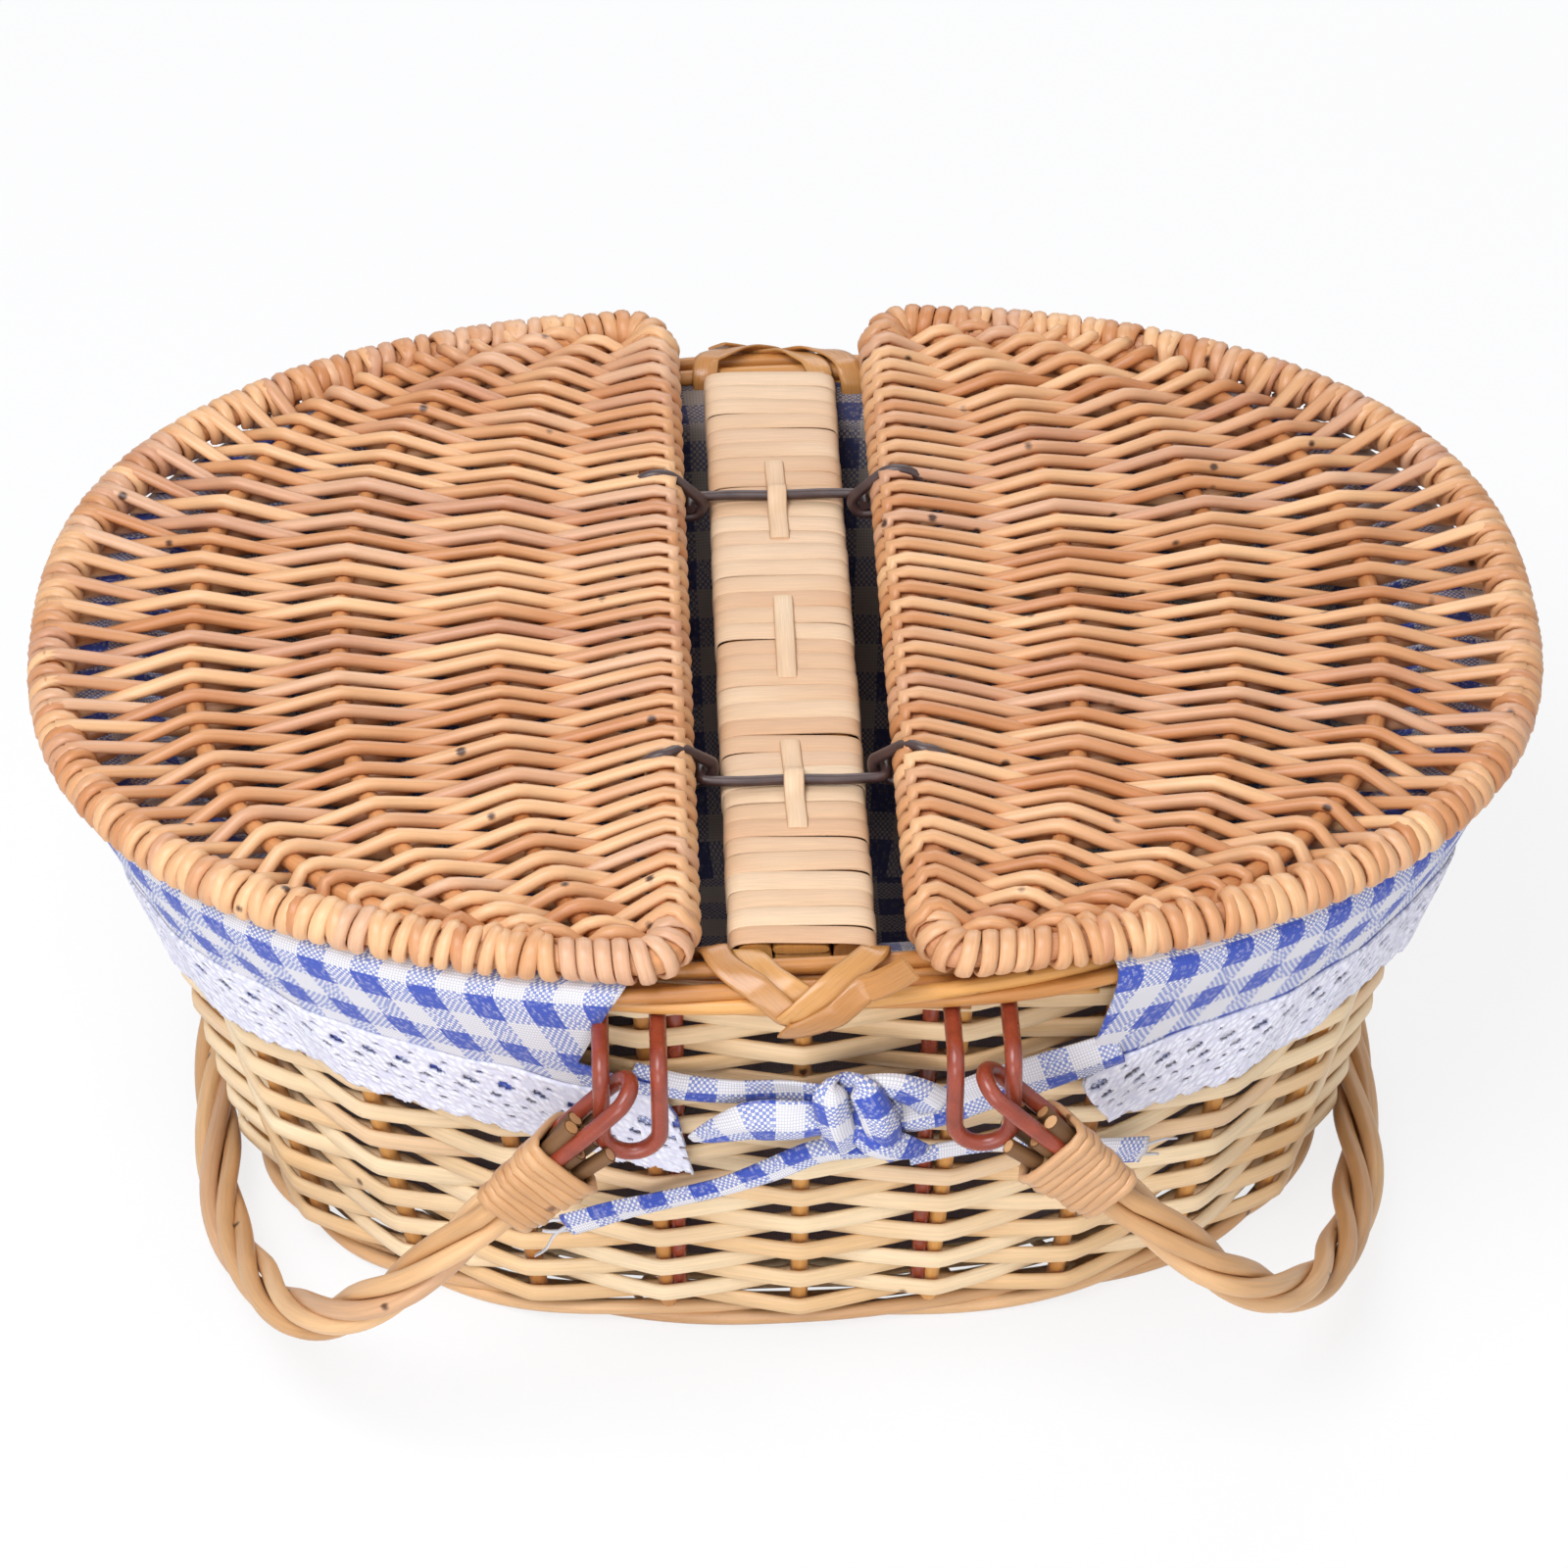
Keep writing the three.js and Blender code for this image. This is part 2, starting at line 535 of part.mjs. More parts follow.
// Lashings cross from the bar's corners over the rim and down its outside
function lashing() {
  const rimY = (out) => -(MOUTH_DEPTH / 2 + out);
  const over = RIM_TOP + GAP;
  const face = rimY(BORDER_OUT + 2.2);
  const straps = [-1, 1].map((sign) => {
    const step = sign * STRAP_WIDTH;
    const path = smooth([
      new THREE.Vector3(1.75 * step, -barHalf + STRAP_WIDTH, BAR_TOP + GAP),
      new THREE.Vector3(1.4 * step, -barHalf + 1, BAR_TOP + GAP),
      new THREE.Vector3(0.88 * step, rimY(-TOP_ROD / 2), over + 1),
      new THREE.Vector3(0.12 * step, rimY(BORDER_OUT - 1), over + 1.6),
      new THREE.Vector3(-0.38 * step, face, RIM_TOP - BORDER_ROD + 0.5),
      new THREE.Vector3(-1.12 * step, face + 0.8, BORDER_LOWER_Z - BORDER_ROD / 2 - 1),
    ]);
    const rings = span(0, 1, 9).map((t) => {
      const p = path.getPoint(t);
      const along = path.getTangent(t);
      const across = new THREE.Vector3(1, 0, 0).addScaledVector(along, -along.x).normalize();
      const outward = new THREE.Vector3().crossVectors(across, along).normalize();
      if (outward.z - outward.y < 0) outward.negate();
      const half = STRAP_WIDTH / 2;
      return [[-half, 0], [half, 0], [half, SKEIN], [-half, SKEIN]].map(([a, o]) => {
        return p.clone().addScaledVector(across, a).addScaledVector(outward, o);
      });
    });
    return loft(rings);
  });
  return joined(...straps);
}
piece("bar_lashing_front", lashing(), SPLIT);
piece("bar_lashing_rear", lashing(), SPLIT).rotation.z = Math.PI;

// Hinge wires: each crosses the bar and turns along the lids' turning line at both ends
function hingeWire(sideY) {
  const near = sideY * (HINGE_Y - HINGE_TAIL);
  const cross = sideY * wireY;
  const bend = HINGE_BEND;
  const points = [
    new THREE.Vector3(-HINGE_X, near, HINGE_Z),
    new THREE.Vector3(-HINGE_X, cross - sideY * bend, HINGE_Z),
    new THREE.Vector3(-HINGE_X + 0.3 * bend, cross - sideY * 0.3 * bend, HINGE_Z),
    new THREE.Vector3(-HINGE_X + bend, cross, HINGE_Z),
  ];
  const mirrored = points.map((p) => new THREE.Vector3(-p.x, p.y, p.z)).reverse();
  return rodAlong(smooth([...points, ...mirrored]), HINGE_WIRE / 2, 18, 5);
}
piece("hinge_wire_front", hingeWire(-1), WIRE_DARK);
piece("hinge_wire_rear", hingeWire(1), WIRE_DARK);

// Lids, drawn as the left one. The bow is the outer frame rod and the spine the straight inner one.
const hemRadius = LID_HEM / 2;
const lidHalfX = LID_WIDTH / 2 - hemRadius;
const lidHalfY = LID_DEPTH / 2 - hemRadius;
const bowEndX = SPINE_X - LID_ROD / 2;
const BOW_STEPS = 20;

function lidEdge(y) {
  return lidHalfX * Math.max(0, 1 - Math.abs(y / lidHalfY) ** OVAL_POWER) ** (1 / OVAL_POWER);
}

// The bow runs from the front corner round the outside to the rear corner
class BowCurve extends THREE.Curve {
  constructor(endX) {
    super();
    this.start = Math.acos(Math.sign(endX) * (Math.abs(endX) / lidHalfX) ** (OVAL_POWER / 2));
  }

  getPoint(t, target = new THREE.Vector3()) {
    const angle = THREE.MathUtils.lerp(Math.PI + this.start, Math.PI - this.start, t);
    const p = ovalPoint(lidHalfX, lidHalfY, angle);
    return target.set(p.x, p.y, LID_LEVEL);
  }
}

// Ribs bow less and less towards the spine, and run into the bow at both ends
function lidRib(place, radius) {
  const reach = lidHalfY - 5;
  const points = span(-reach, reach, 16).map((y) => {
    const x = SPINE_X + place * (lidEdge(y) - SPINE_X);
    return new THREE.Vector3(-x, y, LID_LEVEL);
  });
  return rodAlong(smooth(points), radius, 10, 5);
}

// The woven panel. Each row runs from the spine to the bow and crosses the ribs over and under in turn,
// opposite to the row beside it. Rows spread like a fan, because the bow is longer than the spine.
function lidPanel() {
  const ends = lidHalfY - 5;
  const bow = new BowCurve(lidEdge(ends));
  const lanes = [0, ...RIB_PLACES].map((place) => {
    return new THREE.SplineCurve(span(-ends, ends, 16).map((y) => {
      return new THREE.Vector2(-SPINE_X - place * (lidEdge(y) - SPINE_X), y);
    }));
  });
  const lines = span(0, 1, LID_ROWS).map((t, row) => {
    const places = lanes.map((lane) => lane.getPointAt(t));
    const edge = bow.getPointAt(t);
    places.push(new THREE.Vector2(edge.x, edge.y));
    const waves = places.map((_, lane) => {
      const inside = lane > 0 && lane < places.length - 1 && row > 0 && row < LID_ROWS;
      return inside ? LID_WAVE * (-1) ** (row + lane) : 0;
    });
    const level = (up) => places.map((p, lane) => {
      return new THREE.Vector3(p.x, p.y, LID_LEVEL + (up * LID_PANEL) / 2 + waves[lane]);
    });
    return [...level(1), ...level(-1).reverse()];
  });
  return loft(lines);
}

function lidWeave() {
  const bow = new BowCurve(bowEndX);
  const panel = lidPanel();
  const end = spineHalf();
  const hems = [
    rodAlong(bow, hemRadius, BOW_STEPS, 8),
    straightRod(new THREE.Vector3(-SPINE_X, -end, LID_LEVEL),
      new THREE.Vector3(-SPINE_X, end, LID_LEVEL), hemRadius, 8),
  ];
  const tools = [
    rodAlong(new BowCurve(bowEndX - 4), LID_ROD / 2 + GAP, BOW_STEPS, 6),
    straightRod(new THREE.Vector3(-SPINE_X, -lidHalfY - 9, LID_LEVEL),
      new THREE.Vector3(-SPINE_X, lidHalfY + 9, LID_LEVEL), LID_ROD / 2 + GAP, 8),
    ...RIB_PLACES.map((place) => lidRib(place, RIB_DIAMETER / 2 + GAP)),
  ];
  for (const sideY of [-1, 1]) {
    const notch = new THREE.BoxGeometry(LID_HEM + 6, HINGE_WIRE + 4 * GAP, LID_HEM + 4);
    tools.push(notch.translate(-SPINE_X, sideY * HINGE_Y, LID_LEVEL));
  }
  return cut(joined(panel, ...hems), ...tools);
}

function spineHalf() {
  return lidEdgeY(SPINE_X) - LID_ROD / 2 - GAP;
}

function lidEdgeY(x) {
  return lidHalfY * (1 - (x / lidHalfX) ** OVAL_POWER) ** (1 / OVAL_POWER);
}

// A wire tie belted round the lid's spine and the hinge wire
function lidTie() {
  const wheels = [
    { x: -HINGE_X, z: HINGE_Z, r: HINGE_WIRE + GAP },
    { x: -SPINE_X, z: LID_LEVEL, r: LID_ROD / 2 + GAP + HINGE_WIRE / 2 },
  ];
  const section = polygon(HINGE_WIRE / 2, 5);
  const rings = span(0, 2 * Math.PI, 14).slice(0, -1).map((angle) => {
    const normal = new THREE.Vector3(Math.cos(angle), 0, Math.sin(angle));
    const tops = wheels.map((w) => new THREE.Vector3(w.x, 0, w.z).addScaledVector(normal, w.r));
    const p = tops[0].dot(normal) > tops[1].dot(normal) ? tops[0] : tops[1];
    return section.map((s) => p.clone().addScaledVector(normal, s.x).add(new THREE.Vector3(0, s.y, 0)));
  });
  return loft(rings, true);
}

function addLid(side) {
  const lid = new THREE.Group();
  lid.scale.x = side === "left" ? 1 : -1;
  basket.add(lid);
  piece(`${side}_lid_weave`, lidWeave(), HONEY, lid);
  piece(`${side}_lid_bow`, rodAlong(new BowCurve(bowEndX), LID_ROD / 2, BOW_STEPS, 6), AMBER, lid);
  const bowRoom = rodAlong(new BowCurve(bowEndX), LID_ROD / 2 + GAP, BOW_STEPS, 6);
  const end = spineHalf() - GAP;
  piece(`${side}_lid_spine`, straightRod(new THREE.Vector3(-SPINE_X, -end, LID_LEVEL),
    new THREE.Vector3(-SPINE_X, end, LID_LEVEL), LID_ROD / 2, 8), AMBER, lid);
  ["inner", "middle", "outer"].forEach((name, i) => {
    piece(`${side}_lid_rib_${name}`, cut(lidRib(RIB_PLACES[i], RIB_DIAMETER / 2), bowRoom), AMBER, lid);
  });
  piece(`${side}_lid_tie_front`, lidTie(), WIRE_DARK, lid).position.y = -HINGE_Y;
  piece(`${side}_lid_tie_rear`, lidTie(), WIRE_DARK, lid).position.y = HINGE_Y;
}
addLid("left");
addLid("right");

// Handles, drawn flat with the turning line at the origin and the crown towards -X
class HandleCurve extends THREE.Curve {
  constructor(phase, lay) {
    super();
    this.phase = phase;
    this.lay = lay;
    this.start = BINDING_START - 2;
    this.leg = HANDLE_LEG - this.start;
    this.bow = HANDLE_REACH - HANDLE_LEG;
    this.half = LOOP_PLANE;
    const bowLength = Math.PI * Math.sqrt((this.bow ** 2 + this.half ** 2) / 2);
    this.share = this.leg / (2 * this.leg + bowLength);
  }

  flat(t) {
    if (t < this.share) return new THREE.Vector2(-this.start - (this.leg * t) / this.share, -this.half);
    if (t > 1 - this.share) {
      return new THREE.Vector2(-this.start - (this.leg * (1 - t)) / this.share, this.half);
    }
    const a = (Math.PI * (t - this.share)) / (1 - 2 * this.share);
    return new THREE.Vector2(-HANDLE_LEG - this.bow * Math.sin(a), -this.half * Math.cos(a));
  }

  getPoint(t, target = new THREE.Vector3()) {
    const here = this.flat(t);
    const ahead = this.flat(Math.min(t + 1e-3, 1));
    const behind = this.flat(Math.max(t - 1e-3, 0));
    const side = ahead.sub(behind).normalize();
    const plain = (BINDING_TURNS * BINDING_PITCH + 6) / this.leg * this.share;
    const twist = THREE.MathUtils.clamp((t - plain) / (1 - 2 * plain), 0, 1);
    const angle = this.phase + 2 * Math.PI * HANDLE_TURNS * twist;
    const off = this.lay * Math.cos(angle);
    const rise = this.lay * Math.sin(angle) - BUNDLE_DROP;
    return target.set(here.x - side.y * off, here.y + side.x * off, rise);
  }
}

const rodPhases = [Math.PI / 2, (7 * Math.PI) / 6, (11 * Math.PI) / 6];

function handleRing(radius) {
  const far = BINDING_START + BINDING_TURNS * BINDING_PITCH * 0.8;
  const centre = -RING_BIGHT + RING_HALF_WIDTH - RING_WIRE / 2;
  const points = [new THREE.Vector3(-far, -RING_HALF_WIDTH, 0)];
  points.push(new THREE.Vector3(-(far + centre) / 2, -RING_HALF_WIDTH, 0));
  for (const a of span(-Math.PI / 2, Math.PI / 2, 6)) {
    const across = RING_HALF_WIDTH * Math.sin(a);
    points.push(new THREE.Vector3(-centre + RING_HALF_WIDTH * Math.cos(a), across, 0));
  }
  points.push(new THREE.Vector3(-(far + centre) / 2, RING_HALF_WIDTH, 0));
  points.push(new THREE.Vector3(-far, RING_HALF_WIDTH, 0));
  return rodAlong(smooth(points), radius, 16);
}

// A sleeve of cane turns round the rods and the legs of the ring
function handleBinding(sideY) {
  const length = BINDING_TURNS * BINDING_PITCH;
  const bore = BINDING_RADIUS - SKEIN;
  const profile = [new THREE.Vector2(bore, 0)];
  for (let turn = 0; turn < BINDING_TURNS; turn++) {
    profile.push(new THREE.Vector2(BINDING_RADIUS - 0.5, turn * BINDING_PITCH));
    profile.push(new THREE.Vector2(BINDING_RADIUS, (turn + 0.5) * BINDING_PITCH));
  }
  profile.push(new THREE.Vector2(BINDING_RADIUS - 0.5, length), new THREE.Vector2(bore, length));
  profile.push(new THREE.Vector2(bore, 0));
  const wrap = new THREE.LatheGeometry(profile, 8);
  wrap.rotateZ(Math.PI / 2);
  return wrap.translate(-BINDING_START, sideY * LOOP_PLANE, -BUNDLE_DROP);
}

function addHandle(side) {
  const mirror = new THREE.Group();
  mirror.scale.x = side === "left" ? 1 : -1;
  basket.add(mirror);
  const handle = new THREE.Group();
  handle.position.set(-PIVOT_X, 0, PIVOT_Z);
  handle.rotation.y = -HANDLE_TILT;
  mirror.add(handle);
  rodPhases.forEach((phase, i) => {
    const rod = rodAlong(new HandleCurve(phase, HANDLE_LAY), HANDLE_ROD / 2, 34, 5);
    piece(`${side}_handle_rod_${i + 1}`, rod, HONEY, handle);
  });
  for (const [place, sideY] of [["front", -1], ["rear", 1]]) {
    piece(`${side}_handle_binding_${place}`, handleBinding(sideY), SPLIT, handle);
    const ring = piece(`${side}_handle_ring_${place}`, handleRing(RING_WIRE / 2), WIRE_RED, handle);
    ring.position.y = sideY * LOOP_PLANE;
  }
}
addHandle("left");
addHandle("right");

export default basket;
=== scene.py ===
# %% [markdown]
# # An oval willow picnic basket
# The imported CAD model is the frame: it holds the sizes, the bodies and the joints. This lesson dresses it
# with what the eye sees on the real basket: separate willow weavers, split skein, coated wire, checked
# cotton and lace. Every piece rides on one of the five bodies: the basket, two lids and two handles.

# %% Load the frame
import math

import bpy
import numpy as np
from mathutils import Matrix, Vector


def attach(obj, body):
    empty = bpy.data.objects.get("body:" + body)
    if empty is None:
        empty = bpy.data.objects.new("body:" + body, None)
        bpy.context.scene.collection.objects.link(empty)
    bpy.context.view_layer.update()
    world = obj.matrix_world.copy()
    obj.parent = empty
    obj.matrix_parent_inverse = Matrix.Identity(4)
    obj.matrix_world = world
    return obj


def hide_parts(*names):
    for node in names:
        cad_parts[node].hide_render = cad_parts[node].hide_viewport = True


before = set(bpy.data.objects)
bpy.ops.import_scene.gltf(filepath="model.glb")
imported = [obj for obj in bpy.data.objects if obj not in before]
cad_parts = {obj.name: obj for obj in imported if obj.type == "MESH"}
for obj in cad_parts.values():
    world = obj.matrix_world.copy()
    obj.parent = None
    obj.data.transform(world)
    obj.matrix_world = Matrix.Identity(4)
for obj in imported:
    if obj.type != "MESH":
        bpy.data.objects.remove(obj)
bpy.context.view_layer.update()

MM = 0.001

# %% [markdown]
# ## Camera and light
# The photograph was taken from in front and well above, with a long lens, on a white sweep. The camera
# stands where a fit to the rim and the lids put it. Large soft lamps light the weave from above, so that
# each rod has a bright back and a dark gap beside it. The floor is white to the camera, and keeps a soft
# shadow. The sky looks white too, but only a part of it lights the basket.

# %% Helpers for colours, materials and nodes
def linear(code):
    """An sRGB hex colour as the linear values that a shader socket takes."""
    parts = [int(code[i:i + 2], 16) / 255 for i in (1, 3, 5)]
    return tuple(c / 12.92 if c <= 0.04045 else ((c + 0.055) / 1.055) ** 2.4 for c in parts) + (1.0,)


def blank_material(name):
    """A new material, and its node tree without nodes."""
    made = bpy.data.materials.new(name)
    made.use_nodes = True
    made.node_tree.nodes.clear()
    return made, made.node_tree


# The colour output of a Mix node comes after those for numbers and vectors.
MIXED = 2


def add(tree, kind, inputs=None, pick=0, **settings):
    """Adds one node with its settings. An input is a value, or another node's output to link.

    What comes back is the output that pick names, for the next node to link."""
    made = tree.nodes.new(kind)
    made.location = (190 * (len(tree.nodes) % 12), -240 * (len(tree.nodes) // 12))
    for key, value in settings.items():
        setattr(made, key, value)
    for key, value in (inputs or {}).items():
        if isinstance(value, bpy.types.NodeSocket):
            tree.links.new(value, made.inputs[key])
        else:
            made.inputs[key].default_value = value
    return made.outputs[pick] if made.outputs else made


# %% Camera
scene = bpy.context.scene
scene.view_settings.view_transform = "Standard"
EYE = np.array((-42.0, -1149.6, 1037.3))
TARGET = np.array((4.5, 131.7, 0.0))
FIELD_OF_VIEW = 16.476
lens = bpy.data.cameras.new("camera")
lens.angle = math.radians(FIELD_OF_VIEW)
lens.clip_end = 20
camera = bpy.data.objects.new("camera", lens)
scene.collection.objects.link(camera)
scene.camera = camera


def aim(obj, eye, target):
    """Turns a camera or lamp so that it looks from one point at another."""
    obj.location = Vector(eye) * MM
    obj.rotation_euler = (Vector(target) - Vector(eye)).to_track_quat("-Z", "Y").to_euler()


aim(camera, EYE, TARGET)
print("camera distance, mm:", round(float(np.linalg.norm(EYE - TARGET))))

# %% Lamps and world
# Each lamp has a name, its place and width in millimetres, and its power in watts.
LAMPS = (
    ("key", (-500, -700, 1500), 900, 23),
    ("front", (-350, -1450, 380), 900, 10.5),
    ("fill", (900, -900, 900), 1200, 4),
    ("back", (200, 1100, 1100), 1000, 8),
)
LAMP_COLOUR = "#F4F7FF"
LAMP_TARGET = (0, 0, 100)
SKY_LIGHT = 0.24
for name, place, size, power in LAMPS:
    lamp = bpy.data.lights.new(name, "AREA")
    lamp.size = size * MM
    lamp.energy = power
    lamp.color = linear(LAMP_COLOUR)[:3]
    stand = bpy.data.objects.new(name, lamp)
    scene.collection.objects.link(stand)
    aim(stand, place, LAMP_TARGET)


def seen_directly(tree):
    """1 for rays from the camera or off a gloss, and 0 for those that only carry light."""
    ray = add(tree, "ShaderNodeLightPath").node.outputs
    return add(tree, "ShaderNodeMath", {0: ray["Is Camera Ray"], 1: ray["Is Glossy Ray"]},
               operation="MAXIMUM")


world = bpy.data.worlds.new("white studio")
scene.world = world
world.use_nodes = True
sky = world.node_tree
sky.nodes.clear()
level = add(sky, "ShaderNodeMapRange", {"Value": seen_directly(sky), "To Min": SKY_LIGHT, "To Max": 1.0})
glow = add(sky, "ShaderNodeBackground", {"Color": (1, 1, 1, 1), "Strength": level})
add(sky, "ShaderNodeOutputWorld", {"Surface": glow})

# %% Floor
FLOOR_HALF = 6
FLOOR_GLOW = 0.8
floor_mesh = bpy.data.meshes.new("floor")
floor_corners = [(x * FLOOR_HALF, y * FLOOR_HALF, 0) for x, y in ((-1, -1), (1, -1), (1, 1), (-1, 1))]
floor_mesh.from_pydata(floor_corners, [], [(0, 1, 2, 3)])
floor = bpy.data.objects.new("floor", floor_mesh)
scene.collection.objects.link(floor)
paper, tree = blank_material("white paper sweep")
glowing = add(tree, "ShaderNodeMath", {0: seen_directly(tree), 1: FLOOR_GLOW}, operation="MULTIPLY")
matt = add(tree, "ShaderNodeBsdfDiffuse", {"Color": linear("#F4F4F4")})
white = add(tree, "ShaderNodeEmission", {"Color": (1, 1, 1, 1), "Strength": 1.0})
both = add(tree, "ShaderNodeMixShader", {0: glowing, 1: matt, 2: white})
add(tree, "ShaderNodeOutputMaterial", {"Surface": both})
floor_mesh.materials.append(paper)
print("floor and", len(LAMPS), "lamps")

# %% [markdown]
# ## Willow
# Buff willow is boiled in its bark, which stains it honey to fox brown, and then peeled. Peeled rods are
# smooth with a faint gloss. Each rod has its own tone, which shifts slowly along its length. Fine grain
# runs with the rod, and leaf scars leave small dark marks every few centimetres. Split willow skein is
# paler and flatter. An image could not follow each strand, so the grain is a noise on numbers that every
# strand carries: the distance along it, the distance across it, and a number of its own. One function makes
# all the finishes, because only the tones, the gloss and the number of scars differ.

# %% Willow materials
# These keep the noise of one strand apart from the next one's.
STRANDS_APART = 53.0
STRAND_LAYER = 91
# The tone drifts about every 45 mm, and strands differ by this share of the way from pale to deep.
DRIFT_PER_METRE = 22.0
TONE_SPREAD = 0.62
# A streak of grain is long and thin, in shares of streak_mm.
GRAIN_LENGTH = 12
GRAIN_WIDTH = 0.45
GRAIN_RELIEF_MM = 0.4
SCAR_SPACING_MM = 13


def willow(name, pale, deep, blush, scar, rough, scar_share=0.5, streak_mm=1.4):
    """Peeled willow from two end tones, a rosy tone that some rods have, and the colour of leaf scars."""
    made, tree = blank_material(name)
    place = add(tree, "ShaderNodeTexCoord", pick="Object")
    strand, along, across = (add(tree, "ShaderNodeAttribute", pick="Fac", attribute_name=key)
                             for key in ("strand", "along", "across"))

    apart = add(tree, "ShaderNodeMath", {0: strand, 1: STRANDS_APART}, operation="MULTIPLY")
    on_rod = add(tree, "ShaderNodeCombineXYZ", {"X": along, "Y": apart})
    drift = add(tree, "ShaderNodeTexNoise", {"Vector": on_rod, "Scale": DRIFT_PER_METRE, "Detail": 2.0})
    tone = add(tree, "ShaderNodeMath", {0: strand, 1: TONE_SPREAD, 2: -TONE_SPREAD / 2},
               operation="MULTIPLY_ADD")
    share = add(tree, "ShaderNodeMath", {0: drift, 1: tone}, operation="ADD", use_clamp=True)
    spread = add(tree, "ShaderNodeMapRange", {"Value": share, "From Min": 0.18, "From Max": 0.82})
    plain = add(tree, "ShaderNodeMix", {0: spread, 6: linear(pale), 7: linear(deep)}, MIXED, data_type="RGBA")
    lot = add(tree, "ShaderNodeTexWhiteNoise", {"W": strand}, noise_dimensions="1D")
    rosy = add(tree, "ShaderNodeMapRange", {"Value": lot, "From Min": 0.72, "From Max": 0.9, "To Max": 0.5})
    base = add(tree, "ShaderNodeMix", {0: rosy, 6: plain, 7: linear(blush)}, MIXED, data_type="RGBA")

    on_skin = add(tree, "ShaderNodeCombineXYZ", {"X": along, "Y": across, "Z": strand})
    streak = streak_mm * MM
    streaks = (1 / (GRAIN_LENGTH * streak), 1 / (GRAIN_WIDTH * streak), STRAND_LAYER)
    fibre = add(tree, "ShaderNodeVectorMath", {0: on_skin, 1: streaks}, operation="MULTIPLY")
    grain = add(tree, "ShaderNodeTexNoise", {"Vector": fibre, "Scale": 1.0, "Detail": 3.0, "Roughness": 0.6})
    fleck = add(tree, "ShaderNodeMapRange", {"Value": grain, "From Min": 0.3, "From Max": 0.75,
                                            "To Min": 0.86, "To Max": 1.06})
    wood = add(tree, "ShaderNodeMix", {0: 1.0, 6: base, 7: fleck}, MIXED, data_type="RGBA",
               blend_type="MULTIPLY")

    spacing = 1 / (SCAR_SPACING_MM * MM)
    cells = add(tree, "ShaderNodeTexVoronoi", {"Vector": place, "Scale": spacing, "Randomness": 1.0})
    wobble = add(tree, "ShaderNodeMath", {0: grain, 1: 0.09}, operation="MULTIPLY")
    edge = add(tree, "ShaderNodeMath", {0: cells, 1: wobble}, operation="ADD")
    mark = add(tree, "ShaderNodeMapRange", {"Value": edge, "From Min": 0.105, "From Max": 0.17,
                                           "To Min": 1.0, "To Max": 0.0})
    chance = add(tree, "ShaderNodeSeparateColor", {0: cells.node.outputs["Color"]})
    some = add(tree, "ShaderNodeMath", {0: chance, 1: scar_share}, operation="LESS_THAN")
    scars = add(tree, "ShaderNodeMath", {0: mark, 1: some}, operation="MULTIPLY")
    colour = add(tree, "ShaderNodeMix", {0: scars, 6: wood, 7: linear(scar)}, MIXED, data_type="RGBA")

    gloss = add(tree, "ShaderNodeMapRange", {"Value": grain, "To Min": rough - 0.08, "To Max": rough + 0.1})
    bump = add(tree, "ShaderNodeBump", {"Height": grain, "Strength": 0.18, "Distance": GRAIN_RELIEF_MM * MM})
    skin = add(tree, "ShaderNodeBsdfPrincipled", {"Base Color": colour, "Roughness": gloss, "Normal": bump,
                                                 "IOR": 1.5})
    add(tree, "ShaderNodeOutputMaterial", {"Surface": skin})
    return made


HONEY = willow("buff willow, peeled", "#EBBA88", "#C58350", "#C99C86", "#4A2A16", 0.4)
AMBER = willow("buff willow, thick rods", "#DF9F66", "#B87542", "#C08A6C", "#4A2A16", 0.45)
PALE = willow("white willow, split", "#F6DCB2", "#E6BC86", "#E9C7A4", "#7A5030", 0.46, 0.25)
SKEIN = willow("willow skein, shaved flat", "#E6C7A2", "#D4A880", "#DBB797", "#8A623C", 0.5, 0.2, 0.9)
STRAP = willow("willow skein, glossy lashing", "#CF9757", "#B47A40", "#C08E5E", "#7A5030", 0.28, 0.2, 0.9)
BORDER = willow("buff willow, border rods", "#DCA056", "#BA793A", "#C89056", "#5A3519", 0.4, 0.35)
HANDLE = willow("white willow, weathered rods", "#E3B683", "#C4925E", "#C79B7C", "#5A3A22", 0.4, 0.7)
CANE = willow("split cane, binding", "#DDAE7C", "#B67E4A", "#C4956C", "#7A5030", 0.38, 0.3, 0.9)
BARK = willow("willow in its bark", "#7C5530", "#553718", "#6B4A33", "#2E1B0E", 0.6, 0.2)
print("willow finishes:", len((HONEY, AMBER, PALE, SKEIN, STRAP, BORDER, HANDLE, CANE, BARK)))


# %% [markdown]
# ## Coated wire
# The loops, rings and hinges are steel wire in a skin of brown plastic. The skin is even and softly glossy,
# so each bend has a clear highlight, and handling has left slightly darker scuffs a few millimetres long. A
# plain colour would look like paint, so a noise of that size moves the tone and the gloss together.

# %% Wire materials
SCUFF_MM = 6
SCUFF_RELIEF_MM = 0.3


